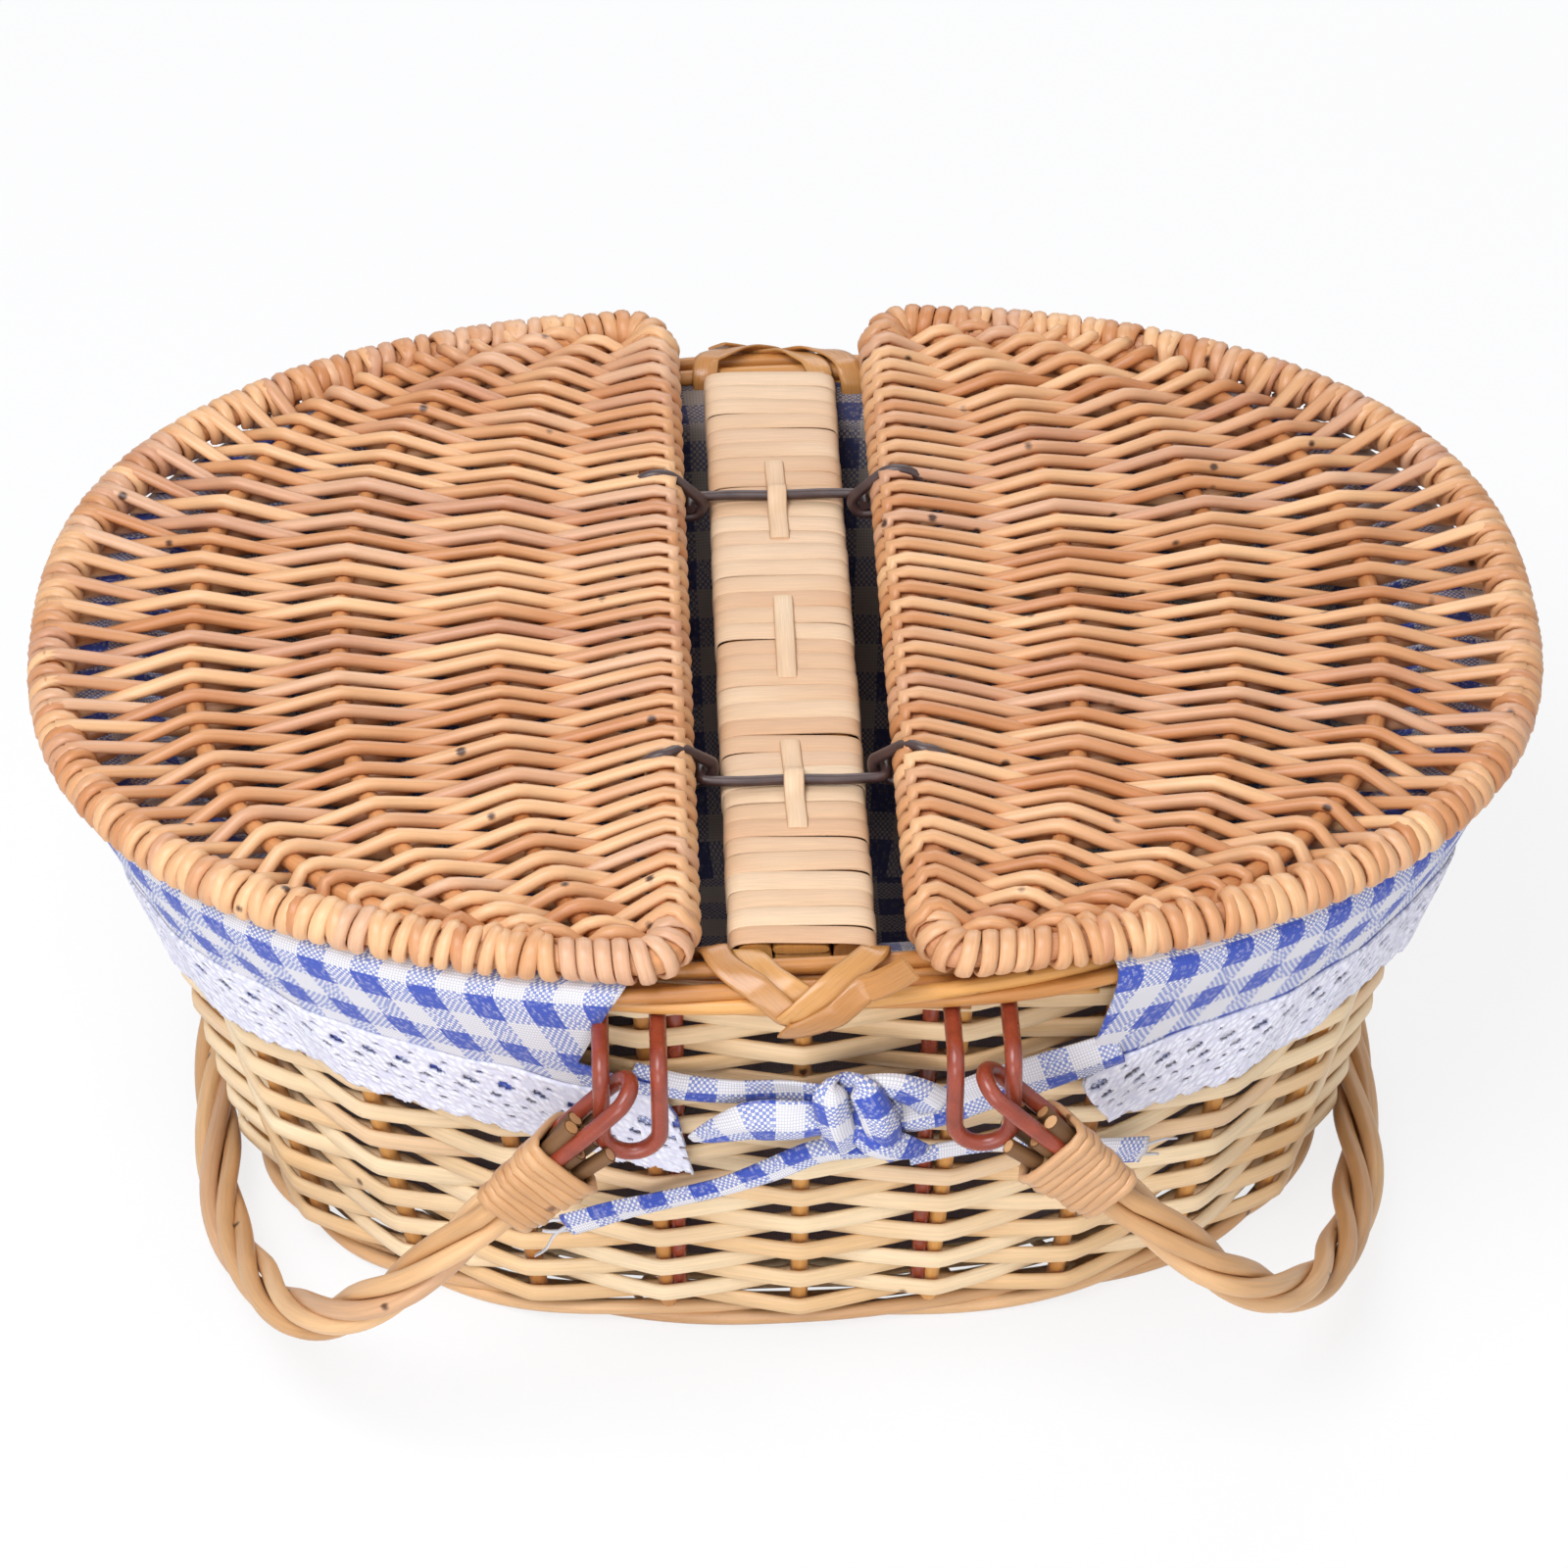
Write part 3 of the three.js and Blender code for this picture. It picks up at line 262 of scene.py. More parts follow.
def coated_wire(name, colour, worn, rough):
    """Coated wire from the colour of its skin and the colour of the scuffs."""
    made, tree = blank_material(name)
    place = add(tree, "ShaderNodeTexCoord", pick="Object")
    scuff = add(tree, "ShaderNodeTexNoise", {"Vector": place, "Scale": 1 / (SCUFF_MM * MM), "Detail": 4.0})
    tone = add(tree, "ShaderNodeMapRange", {"Value": scuff, "From Min": 0.35, "From Max": 0.7})
    base = add(tree, "ShaderNodeMix", {0: tone, 6: linear(colour), 7: linear(worn)}, MIXED, data_type="RGBA")
    gloss = add(tree, "ShaderNodeMapRange", {"Value": scuff, "To Min": rough - 0.1, "To Max": rough + 0.12})
    bump = add(tree, "ShaderNodeBump", {"Height": scuff, "Strength": 0.1, "Distance": SCUFF_RELIEF_MM * MM})
    skin = add(tree, "ShaderNodeBsdfPrincipled", {"Base Color": base, "Roughness": gloss, "Normal": bump,
                                                 "IOR": 1.5})
    add(tree, "ShaderNodeOutputMaterial", {"Surface": skin})
    return made


RED_WIRE = coated_wire("steel wire in red-brown plastic", "#96412B", "#7D3321", 0.27)
DARK_WIRE = coated_wire("steel wire in dark brown plastic", "#4A3531", "#362422", 0.38)
print("wire finishes:", len((RED_WIRE, DARK_WIRE)))

# %% [markdown]
# ## The strand tool
# Nearly everything here is a long thin thing that follows a path: weavers, rods, skein, wire. Python works
# out the centre lines, as the maker's hands do, and one Geometry Nodes tree sweeps a section along all of
# them. At every point the tree reads the direction that the flat side faces, the width and the thickness,
# so one strand can be round in the field and pressed flat where it wraps a rod. The strand's own number and
# the distance along it pass through to the material, and the tree adds the distance across. A bevelled
# curve would be quicker to set up, but it can't change its section or carry these numbers.

# %% The sweep tree
def strand_tree():
    """Mesh edges with face, wide and thick in; swept strands with one material out."""
    tree = bpy.data.node_groups.new("sweep strands", "GeometryNodeTree")
    sockets = tree.interface
    sockets.new_socket("Geometry", in_out="INPUT", socket_type="NodeSocketGeometry")
    sockets.new_socket("Sides", in_out="INPUT", socket_type="NodeSocketInt").default_value = 8
    sockets.new_socket("Edge", in_out="INPUT", socket_type="NodeSocketFloat").default_value = 1.0
    sockets.new_socket("Finish", in_out="INPUT", socket_type="NodeSocketMaterial")
    sockets.new_socket("Geometry", in_out="OUTPUT", socket_type="NodeSocketGeometry")
    given = add(tree, "NodeGroupInput").node.outputs
    lines = add(tree, "GeometryNodeMeshToCurve", {"Mesh": given["Geometry"]})
    here = add(tree, "GeometryNodeInputPosition")
    ahead = add(tree, "GeometryNodeInputTangent")
    for name, value in (("core", here), ("run", ahead)):
        lines = add(tree, "GeometryNodeStoreNamedAttribute",
                    {"Geometry": lines, "Name": name, "Value": value},
                    data_type="FLOAT_VECTOR", domain="POINT")
    ring = add(tree, "GeometryNodeCurvePrimitiveCircle", {"Resolution": given["Sides"], "Radius": 1.0})
    shape = add(tree, "GeometryNodeCurveToMesh", {"Curve": lines, "Profile Curve": ring, "Fill Caps": True})
    read = {}
    for name, kind in (("core", "FLOAT_VECTOR"), ("run", "FLOAT_VECTOR"), ("face", "FLOAT_VECTOR"),
                       ("wide", "FLOAT"), ("thick", "FLOAT")):
        read[name] = add(tree, "GeometryNodeInputNamedAttribute", {"Name": name}, data_type=kind)
    off = add(tree, "ShaderNodeVectorMath", {0: here, 1: read["core"]}, operation="SUBTRACT")
    sideways = add(tree, "ShaderNodeVectorMath", {0: read["run"], 1: read["face"]}, operation="CROSS_PRODUCT")
    side = add(tree, "ShaderNodeVectorMath", {0: sideways}, operation="NORMALIZE")
    up = add(tree, "ShaderNodeVectorMath", {0: side, 1: read["run"]}, operation="CROSS_PRODUCT")
    place = read["core"]
    for axis, size in ((up, read["thick"]), (side, read["wide"])):
        reach = add(tree, "ShaderNodeVectorMath", {0: off, 1: axis}, "Value", operation="DOT_PRODUCT")
        length = add(tree, "ShaderNodeMath", {0: reach}, operation="ABSOLUTE")
        eased = add(tree, "ShaderNodeMath", {0: length, 1: given["Edge"]}, operation="POWER")
        sign = add(tree, "ShaderNodeMath", {0: reach}, operation="SIGN")
        signed = add(tree, "ShaderNodeMath", {0: eased, 1: sign}, operation="MULTIPLY")
        half = add(tree, "ShaderNodeMath", {0: signed, 1: size}, operation="MULTIPLY")
        step = add(tree, "ShaderNodeVectorMath", {0: axis, "Scale": half}, operation="SCALE")
        place = add(tree, "ShaderNodeVectorMath", {0: place, 1: step}, operation="ADD")
    shape = add(tree, "GeometryNodeStoreNamedAttribute", {"Geometry": shape, "Name": "across", "Value": half},
                data_type="FLOAT", domain="POINT")
    shaped = add(tree, "GeometryNodeSetPosition", {"Geometry": shape, "Position": place})
    soft = add(tree, "GeometryNodeSetShadeSmooth", {"Geometry": shaped})
    whole = add(tree, "GeometryNodeRealizeInstances", {"Geometry": soft})
    last = add(tree, "GeometryNodeSetMaterial", {"Geometry": whole, "Material": given["Finish"]})
    add(tree, "NodeGroupOutput", {0: last})
    return tree


SWEEP = strand_tree()
SWEEP_INPUT = {s.name: s.identifier for s in SWEEP.interface.items_tree if s.in_out == "INPUT"}
print("sweep tree nodes:", len(SWEEP.nodes))


# %% Smooth paths and bundles of strands
def lengths(points):
    """Distance along a row of points, from 0 at the first."""
    return np.concatenate(([0], np.cumsum(np.linalg.norm(np.diff(points, axis=0), axis=1))))


def smooth(points, step):
    """Rows of numbers eased by a Catmull-Rom curve, about step millimetres apart on the first three."""
    p = np.asarray(points, float)
    p = np.vstack((2 * p[0] - p[1], p, 2 * p[-1] - p[-2]))
    out = []
    for a, b, c, d in zip(p, p[1:], p[2:], p[3:]):
        count = max(1, math.ceil(np.linalg.norm((c - b)[:3]) / step))
        for t in np.arange(count) / count:
            out.append(0.5 * (2 * b + (c - a) * t + (2 * a - 5 * b + 4 * c - d) * t ** 2
                              + (3 * b - a - 3 * c + d) * t ** 3))
    out.append(p[-2])
    return np.array(out)


class Bundle:
    """Collects strands in millimetres and sweeps them into one plain mesh."""

    def __init__(self, seed):
        self.draw = np.random.default_rng(seed)
        self.points, self.faces, self.wide, self.thick = [], [], [], []
        self.strand, self.along, self.edges = [], [], []

    def add(self, points, face, wide, thick, closed=False):
        """One strand. face, wide and thick are one value, or one for each point."""
        points = np.asarray(points, float)
        count = len(points)
        first = len(self.points)
        self.points.extend(points)
        self.faces.extend(np.broadcast_to(face, (count, 3)))
        self.wide.extend(np.broadcast_to(wide, count))
        self.thick.extend(np.broadcast_to(thick, count))
        self.strand.extend(np.full(count, self.draw.random()))
        self.along.extend(lengths(points) * MM)
        self.edges.extend((first + i, first + i + 1) for i in range(count - 1))
        if closed:
            self.edges.append((first + count - 1, first))

    def sweep(self, name, finish, sides=8, edge=1.0):
        """Runs the tree on the collected strands and returns the finished object."""
        guide = bpy.data.meshes.new(name + " guide")
        guide.from_pydata(np.array(self.points) * MM, self.edges, [])
        for key, rows, kind, part in (("face", self.faces, "FLOAT_VECTOR", "vector"),
                                      ("wide", np.array(self.wide) * MM / 2, "FLOAT", "value"),
                                      ("thick", np.array(self.thick) * MM / 2, "FLOAT", "value"),
                                      ("strand", self.strand, "FLOAT", "value"),
                                      ("along", self.along, "FLOAT", "value")):
            values = np.array(rows, np.float32).ravel()
            guide.attributes.new(key, kind, "POINT").data.foreach_set(part, values)
        holder = bpy.data.objects.new(name + " guide", guide)
        scene.collection.objects.link(holder)
        modifier = holder.modifiers.new("sweep", "NODES")
        modifier.node_group = SWEEP
        for key, value in (("Sides", sides), ("Edge", edge), ("Finish", finish)):
            modifier[SWEEP_INPUT[key]] = value
        graph = bpy.context.evaluated_depsgraph_get()
        mesh = bpy.data.meshes.new_from_object(holder.evaluated_get(graph))
        bpy.data.objects.remove(holder)
        bpy.data.meshes.remove(guide)
        for key in ("core", "run", "face", "wide", "thick"):
            mesh.attributes.remove(mesh.attributes[key])
        mesh.name = name
        made = bpy.data.objects.new(name, mesh)
        scene.collection.objects.link(made)
        print(f"{name}: {len(mesh.polygons)} faces")
        return made


def dress(piece, body, slot, *nodes):
    """Puts a finished piece on its body and hides the CAD nodes that it stands for. slot is not used."""
    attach(piece, body)
    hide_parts(*nodes)


# %% [markdown]
# ## Places on the tub
# The tub, the lids and the rims are all rounded ovals, a little squarer than an ellipse. The same few sizes
# as in the CAD model place everything: the outside of the weave at each height, and out, the distance
# outwards from it. Angles part the oval unevenly, so one function finds angles that part its girth into
# equal lengths.

# %% Ovals
POWER = 2.4
BASE_HALF = (153.0, 104.0)
WALL_TOP = 146.7
FLARE = 29.0 / WALL_TOP
MID_HEIGHT = 90
FULL_TURN = 2 * math.pi
UP = (0, 0, 1)


def oval(half_x, half_y, angle):
    """Points on a rounded oval, as x and y."""
    c, s = np.cos(angle), np.sin(angle)
    return (half_x * np.sign(c) * np.abs(c) ** (2 / POWER), half_y * np.sign(s) * np.abs(s) ** (2 / POWER))


def on_tub(angle, z, out):
    """Points outside the weave by out, for arrays of angles, heights and distances."""
    angle, z, out = np.broadcast_arrays(angle, z, out)
    x, y = oval(BASE_HALF[0] + FLARE * z + out, BASE_HALF[1] + FLARE * z + out, angle)
    return np.stack((x, y, z), -1)


def outward(points):
    """The level direction straight out of the tub at points on it."""
    half = np.array(BASE_HALF) + FLARE * MID_HEIGHT
    slope = np.sign(points[:, :2]) * np.abs(points[:, :2] / half) ** (POWER - 1) / half
    slope = slope / np.linalg.norm(slope, axis=1, keepdims=True)
    return np.column_stack((slope, np.zeros(len(slope))))


def angle_at(x, z, side):
    """The oval angle at which the front, for side -1, or the rear, for side 1, reaches a given x."""
    half = BASE_HALF[0] + FLARE * z
    return side * np.arccos(np.sign(x) * (np.abs(x) / half) ** (POWER / 2))


def even_turn(z, out, count, start, end):
    """Angles that part the girth at one height, or a stretch of it, into equal lengths."""
    dense = np.linspace(start, end, 4000)
    run = lengths(on_tub(dense, z, out))
    full = abs(end - start) > FULL_TURN - 0.01
    return np.interp(np.linspace(0, run[-1], count + (1 if full else 0))[:count], run, dense)


print("mouth, mm:", on_tub(0.0, WALL_TOP, 0)[0] * 2)

# %% [markdown]
# ## Lids
# Each lid is a bowed rod and a straight one, three thinner bowed ribs between them, and eighty rows of thin
# willow. A row goes over one rib and under the next, and the row beside it does the opposite, so the ribs
# only show as small orange steps. Rows spread like a fan, because the bow is twice as long as the straight
# rod. At the straight rod every second row goes over it and comes back underneath. At the bow one row turns
# round nearly once and the next one and a half times, so the rod is hidden. A strip wound round each inner
# corner hides the bend there. An instance of one row would repeat itself, so every row is worked out with
# its own small errors.

# %% Lanes that the rows cross
SPINE_U = 33.0
LID_HALF = (194.5, 139.5)
LID_Z = 163.0
RIB_SHARES = (0.27, 0.53, 0.77)
ROWS = 80
ROD_RADIUS = 3.5
SPINE_RADIUS = 5.0
RIB_RADIUS = 2.5
SPINE_END = 131.0
RIB_END = 132.5
BOW_START = 58.0
SPINE_POINTS = 300
BOW_POINTS = 600


def lid_edge(y):
    """How far out the bow lies at each y."""
    return LID_HALF[0] * np.clip(1 - np.abs(y / LID_HALF[1]) ** POWER, 0, 1) ** (1 / POWER)


def lane(share):
    """A frame rod or rib from front to rear, as x measured outwards and y."""
    if share == 0:
        y = np.linspace(-SPINE_END, SPINE_END, SPINE_POINTS)
        return np.column_stack((np.full(SPINE_POINTS, SPINE_U), y))
    if share == 1:
        corner = math.acos((BOW_START / LID_HALF[0]) ** (POWER / 2))
        return np.column_stack(oval(*LID_HALF, np.linspace(-corner, corner, BOW_POINTS)))
    y = RIB_END * np.sin(np.linspace(-math.pi / 2, math.pi / 2, BOW_POINTS))
    return np.column_stack((SPINE_U + share * (lid_edge(y) - SPINE_U), y))


def crossing(points, t):
    """The place and direction at t, from -1 at the front to 1 at the rear, by length along a lane."""
    run = lengths(points)
    reach = (t + 1) / 2 * run[-1]
    before, place, after = (np.array([np.interp(reach + shift, run, points[:, k]) for k in (0, 1)])
                            for shift in (-1, 0, 1))
    return place, (after - before) / np.linalg.norm(after - before)


LANES = [lane(share) for share in (0, *RIB_SHARES, 1)]
print("lane lengths, mm:", [round(float(lengths(points)[-1])) for points in LANES])


# %% Rows of the lid weave
WEAVER_SIZE = 3.75
WEAVER_VARIES = 0.22
ROW_WANDER = 0.0022
RIB_WANDER = 0.25
RIB_PRESS = 0.25
# Beside a rib a weaver has sunk a little from the height that it has on it.
RIB_CREST = ((-2.6, 0.88), (0, 1.0), (2.6, 0.88))
WRAP_THICK = 2.8
WRAP_WIDE = 4.4
WRAP_VARIES = (0.88, 1.12)
SPINE_WRAP_WIDE = 4.8
# A turn has its first and last angle in degrees, and how far the strand moves along the rod meanwhile.
SPINE_TURN = (-95, 80, -3.3)
BOW_TURN_OVER = (84, -470, 7.3)
BOW_TURN_UNDER = (-84, 205, 3.2)
UNDER_SHIFT = 1.6
BOW_APPROACH = 3
TURN_STEP = 24


def round_rod(place, along, out, turn, rod, wide):
    """Points of a strand that turns round a rod: 90 is on top, 0 outside, -90 underneath."""
    start, stop, drift = turn
    radius = rod + WRAP_THICK / 2
    rows = []
    for share in np.linspace(0, 1, max(3, int(abs(stop - start) / TURN_STEP) + 1)):
        a = math.radians(start + (stop - start) * share)
        spot = place + along * drift * share + out * radius * math.cos(a)
        radial = (out[0] * math.cos(a), out[1] * math.cos(a), math.sin(a))
        rows.append((*spot, LID_Z + radius * math.sin(a), *radial, wide, WRAP_THICK))
    return rows


def lid_row(i, draw):
    """One weaver from the straight rod to the bow, as rows of place, facing, width and thickness."""
    t = -1 + 2 * (i + 0.5) / ROWS + draw.normal(0, ROW_WANDER)
    over_first = i % 2 == 1
    size = draw.normal(WEAVER_SIZE, WEAVER_VARIES)
    places = [crossing(points, t) for points in LANES]
    spots = [place for place, _ in places]
    wide = draw.uniform(*WRAP_VARIES) * WRAP_WIDE
    spine, along = places[0]
    if over_first:
        rows = round_rod(spine, along, np.array((-1.0, 0.0)), SPINE_TURN, SPINE_RADIUS, SPINE_WRAP_WIDE)[:-1]
        rows.append((spine[0] + 0.5, spine[1], LID_Z + SPINE_RADIUS + 1.4, *UP, 4.4, 3.0))
    else:
        rows = [(spine[0] - 2, spine[1], LID_Z - SPINE_RADIUS - 1.3, *UP, 4.3, 2.4)]
    for j in (1, 2, 3):
        level = 1 if (j % 2 == 1) != over_first else -1
        ahead = spots[j + 1] - spots[j - 1]
        ahead = ahead / np.linalg.norm(ahead)
        rise = RIB_RADIUS + size / 2 - RIB_PRESS
        here = spots[j] + draw.normal(0, RIB_WANDER, 2)
        for shift, share in RIB_CREST:
            rows.append((*(here + ahead * shift), LID_Z + level * rise * share, *UP, size, size))
    bow, along = places[4]
    out = np.array((along[1], -along[0]))
    near = bow - out * BOW_APPROACH
    if over_first:
        rows.append((*near, LID_Z + ROD_RADIUS + 1.1, *UP, 4.6, 2.7))
        rows += round_rod(bow, along, out, BOW_TURN_OVER, ROD_RADIUS, wide)
    else:
        rows.append((*near, LID_Z - ROD_RADIUS - 1.0, *UP, 4.6, 2.6))
        rows += round_rod(bow + along * UNDER_SHIFT, along, out, BOW_TURN_UNDER, ROD_RADIUS, wide)
    return np.array(rows)


# %% Inner corners and frame of a lid
CORNER = 8.5
CORNER_START = 60
CORNER_TAIL = 8
CORNER_TURNS = 9
CORNER_STEPS = 12
CORNER_LIFT = 1.0
CORNER_WIDE = 4.4
CORNER_THICK = 2.0


def on_lid(places):
    """Places on the level of the lid's rods."""
    return np.column_stack((places, np.full(len(places), LID_Z)))


def inner_corner(end):
    """The middle line of the frame rod round one inner corner, from the bow to the straight rod."""
    x = np.linspace(CORNER_START, SPINE_U + CORNER, 12)
    y = LID_HALF[1] * (1 - (x / LID_HALF[0]) ** POWER) ** (1 / POWER)
    a = np.linspace(math.pi / 2, math.pi, 12)[1:]
    middle = y[-1] - CORNER
    u = np.concatenate((x, SPINE_U + CORNER + CORNER * np.cos(a), np.full(5, SPINE_U)))
    v = np.concatenate((y, middle + CORNER * np.sin(a), np.linspace(middle, middle - CORNER_TAIL, 6)[1:]))
    return np.column_stack((u, end * v))


def corner_coil(end):
    """The strip wound round one inner corner, as rows of place, facing, width and thickness."""
    line = inner_corner(end)
    run = lengths(line)
    reach = np.linspace(0, run[-1], CORNER_TURNS * CORNER_STEPS + 1)
    here = np.column_stack([np.interp(reach, run, line[:, k]) for k in (0, 1)])
    ahead = np.gradient(here, axis=0)
    ahead /= np.linalg.norm(ahead, axis=1, keepdims=True)
    spin = FULL_TURN * CORNER_TURNS * reach / run[-1]
    radial = np.column_stack((ahead[:, 1] * np.cos(spin), -ahead[:, 0] * np.cos(spin), np.sin(spin)))
    radius = ROD_RADIUS + CORNER_LIFT + (SPINE_RADIUS - ROD_RADIUS) * reach[:, None] / run[-1]
    sizes = np.tile((CORNER_WIDE, CORNER_THICK), (len(reach), 1))
    return np.column_stack((on_lid(here) + radial * radius, radial, sizes))


def lid_frame():
    """The closed line of the bow, the straight rod and the corners between them."""
    bow_end = math.acos((CORNER_START / LID_HALF[0]) ** (POWER / 2))
    bow = np.column_stack(oval(*LID_HALF, np.linspace(-bow_end, bow_end, 110)))
    front, rear = inner_corner(-1)[::-1], inner_corner(1)
    spine = np.column_stack((np.full(40, SPINE_U), np.linspace(rear[-1, 1], front[0, 1], 42)[1:-1]))
    return np.vstack((bow, rear[1:], spine, front[:-1]))


# %% Both lids
def mirror(rows, side):
    """Lid and handle shapes are worked out with x outwards; the left ones face -X."""
    rows = np.array(rows, float)
    rows[:, 0] *= side
    if rows.shape[1] > 3:
        rows[:, 3] *= side
    return rows


def make_lid(name, side, seed):
    """The weavers of one lid as one piece, and its rods as another."""
    body = f"{name}_lid"
    weave = Bundle(seed)
    for i in range(ROWS):
        path = mirror(smooth(lid_row(i, weave.draw), 3.0), side)
        weave.add(path[:, :3], path[:, 3:6], path[:, 6], path[:, 7])
    for end in (-1, 1):
        coil = mirror(corner_coil(end), side)
        weave.add(coil[:, :3], coil[:, 3:6], coil[:, 6], coil[:, 7])
    dress(weave.sweep(f"{name}_lid_weavers", HONEY), body, "honey_willow", f"{body}_weave")

    rods = Bundle(seed + 1)
    line = lid_frame()
    size = 2 * np.interp(line[:, 0], (SPINE_U, SPINE_U + CORNER), (SPINE_RADIUS, ROD_RADIUS))
    rods.add(mirror(on_lid(line), side), UP, size, size, closed=True)
    for share in RIB_SHARES:
        rods.add(mirror(on_lid(lane(share)[::12]), side), UP, 2 * RIB_RADIUS, 2 * RIB_RADIUS)
    dress(rods.sweep(f"{name}_lid_rods", AMBER, 10), body, "amber_willow", f"{body}_bow", f"{body}_spine",
          f"{body}_rib_inner", f"{body}_rib_middle", f"{body}_rib_outer")


make_lid("left", -1, 11)
make_lid("right", 1, 23)

# %% [markdown]
# ## Wall
# The wall is woven from split willow, flat inside and rounded outside, round twenty-four upright stakes.
# Each round of the weave goes in front of every second stake and behind the others, and the next round does
# the opposite. The strips stay straight between stakes and bend at them, so the path is nearly a triangle
# wave with rounded tips. A displaced wall would have no gaps, so each round is a strand of its own. Rounds
# begin at the rear, where their joints are out of sight.

# %% Wall weavers and stakes
STAKES = 24
# Shares of the way from one stake to the next, close together where a strip bends.
BENDS = np.array((0, 0.05, 0.13, 0.3, 0.5, 0.7, 0.87, 0.95))
WALL_ROWS = 23
FIRST_ROW = 12.0
ROW_PITCH = 6.1
ROW_WAVER = 0.35
STRIP_WIDE = 5.6
STRIP_THICK = 2.0
STRIP_EDGE = 0.62
WEAVE_MIDDLE = -4.1
WEAVE_SWING = 4.1
WAVE_TIP = 0.998
STAKE_SIZE = 4.7
STAKE_ENDS = (10, 144)
REAR = math.pi / 2
girth_angles = np.append(even_turn(75, 0, 2400, REAR, REAR + FULL_TURN), REAR + FULL_TURN)
bend_place = (np.arange(STAKES)[:, None] + BENDS).ravel()
bend_angle = np.interp(bend_place / STAKES, np.linspace(0, 1, len(girth_angles)), girth_angles)
stake_angles = bend_angle[::len(BENDS)]
wave = np.arcsin(WAVE_TIP * np.cos(math.pi * bend_place)) / math.asin(WAVE_TIP)
wall = Bundle(31)
for row in range(WALL_ROWS):
    heights = wall.draw.normal(0, ROW_WAVER, STAKES)
    wander = np.interp(bend_place, np.arange(STAKES + 1), np.append(heights, heights[0]))
    out = WEAVE_MIDDLE + WEAVE_SWING * wave * (-1) ** row
    path = on_tub(bend_angle, FIRST_ROW + ROW_PITCH * row + wander, out)
    wall.add(path, outward(path), wall.draw.normal(STRIP_WIDE, 0.3), STRIP_THICK, closed=True)
dress(wall.sweep("wall_weavers", PALE, 8, STRIP_EDGE), "basket", "pale_willow", "wall_weave")

uprights = Bundle(37)
for angle in stake_angles:
    path = on_tub(angle, np.linspace(*STAKE_ENDS, 24), WEAVE_MIDDLE)
    uprights.add(path, outward(path), STAKE_SIZE, STAKE_SIZE)
dress(uprights.sweep("stakes", BORDER, 8), "basket", "amber_willow", "stake_frame")

# %% [markdown]
# ## Rim and foot
# The tops of the stakes are held in a border of long rods that twist slowly round each other, with one more
# rod inside that pinches the liner. Below the border the tip of each stake is bent over and shaved thin.
# The foot is the same kind of border, lying on the ground. A plait of instances would need a curve to
# follow, so a rod that twists with others is simply a circle round the tub whose height and distance swing
# together.

# %% Rim border, inner rod and foot
def ring_rod(bundle, z, out, size, lay=0.0, turns=0, phase=0.0):
    """A rod right round the tub. lay and turns carry it round its middle line, as in a twist."""
    angle = np.linspace(0, FULL_TURN, 240, endpoint=False)
    spin = phase + turns * angle
    path = on_tub(angle, z + lay * np.sin(spin), out + lay * np.cos(spin))
    bundle.add(path, outward(path), size, size, closed=True)


OUTER_PHASE = 0.5
TIP_REACH = 0.17
TIP_TOP = 146.5
TIP_DROP = 5.5
rim = Bundle(41)
for phase in (OUTER_PHASE, OUTER_PHASE + FULL_TURN / 3, OUTER_PHASE + 2 * FULL_TURN / 3):
    ring_rod(rim, z=149.2, out=3.4, size=4.3, lay=2.45, turns=7, phase=phase)
for phase in (0.0, math.pi):
    ring_rod(rim, z=151.0, out=-4.6, size=4.5, lay=2.2, turns=5, phase=phase)
ring_rod(rim, z=142.25, out=-14.15, size=5.5)
for angle in stake_angles:
    share = np.linspace(0, 1, 10)
    path = on_tub(angle + TIP_REACH * share, TIP_TOP - TIP_DROP * share ** 1.5, 1.6 + 0.8 * share)
    rim.add(path, outward(path), 4.4 - 3.0 * share ** 3, 1.8)
dress(rim.sweep("rim_border", BORDER, 10), "basket", "honey_willow", "rim_top_rod", "rim_outer_upper",
      "rim_outer_lower", "rim_inner_rod")

foot = Bundle(43)
for phase in (0.0, math.pi):
    ring_rod(foot, z=4.2, out=-4.9, size=4.4, lay=1.7, turns=8, phase=phase)
dress(foot.sweep("foot_border", HANDLE, 8), "basket", "amber_willow", "base_hoop")

# %% [markdown]
# ## Base
# The base is a flat oval mat: thin split strips that run round and round, over and under a star of spokes.
# It hardly shows, so it is woven from closed rings that swing over and under the spokes instead of one long
# spiral.

# %% Base
RINGS = 25
SPOKES = 13
BASE_WEAVE_HALF = (143.2, 94.2)
SPOKE_HALF = (143.0, 94.0)
BASE_WEAVE_Z = 3.2
BASE_SWING = 1.0
base = Bundle(45)
ring_angle = np.linspace(0, FULL_TURN, 132, endpoint=False)
for ring in range(RINGS):
    share = (ring + 0.6) / RINGS
    x, y = oval(BASE_WEAVE_HALF[0] * share, BASE_WEAVE_HALF[1] * share, ring_angle)
    z = BASE_WEAVE_Z + BASE_SWING * np.sin(SPOKES * ring_angle) * (-1) ** ring
    base.add(np.column_stack((x, y, z)), UP, 4.6 if ring else 3.0, 1.9, closed=True)
for spoke in range(SPOKES):
    angle = math.pi * (spoke + 0.5) / SPOKES
    x, y = oval(*SPOKE_HALF, np.array([angle, angle + math.pi]))
    base.add(np.linspace((x[0], y[0], BASE_WEAVE_Z), (x[1], y[1], BASE_WEAVE_Z), 9), UP, 3.4, 2.6)
dress(base.sweep("base_weavers", PALE, 6), "basket", "pale_willow", "base_weave")

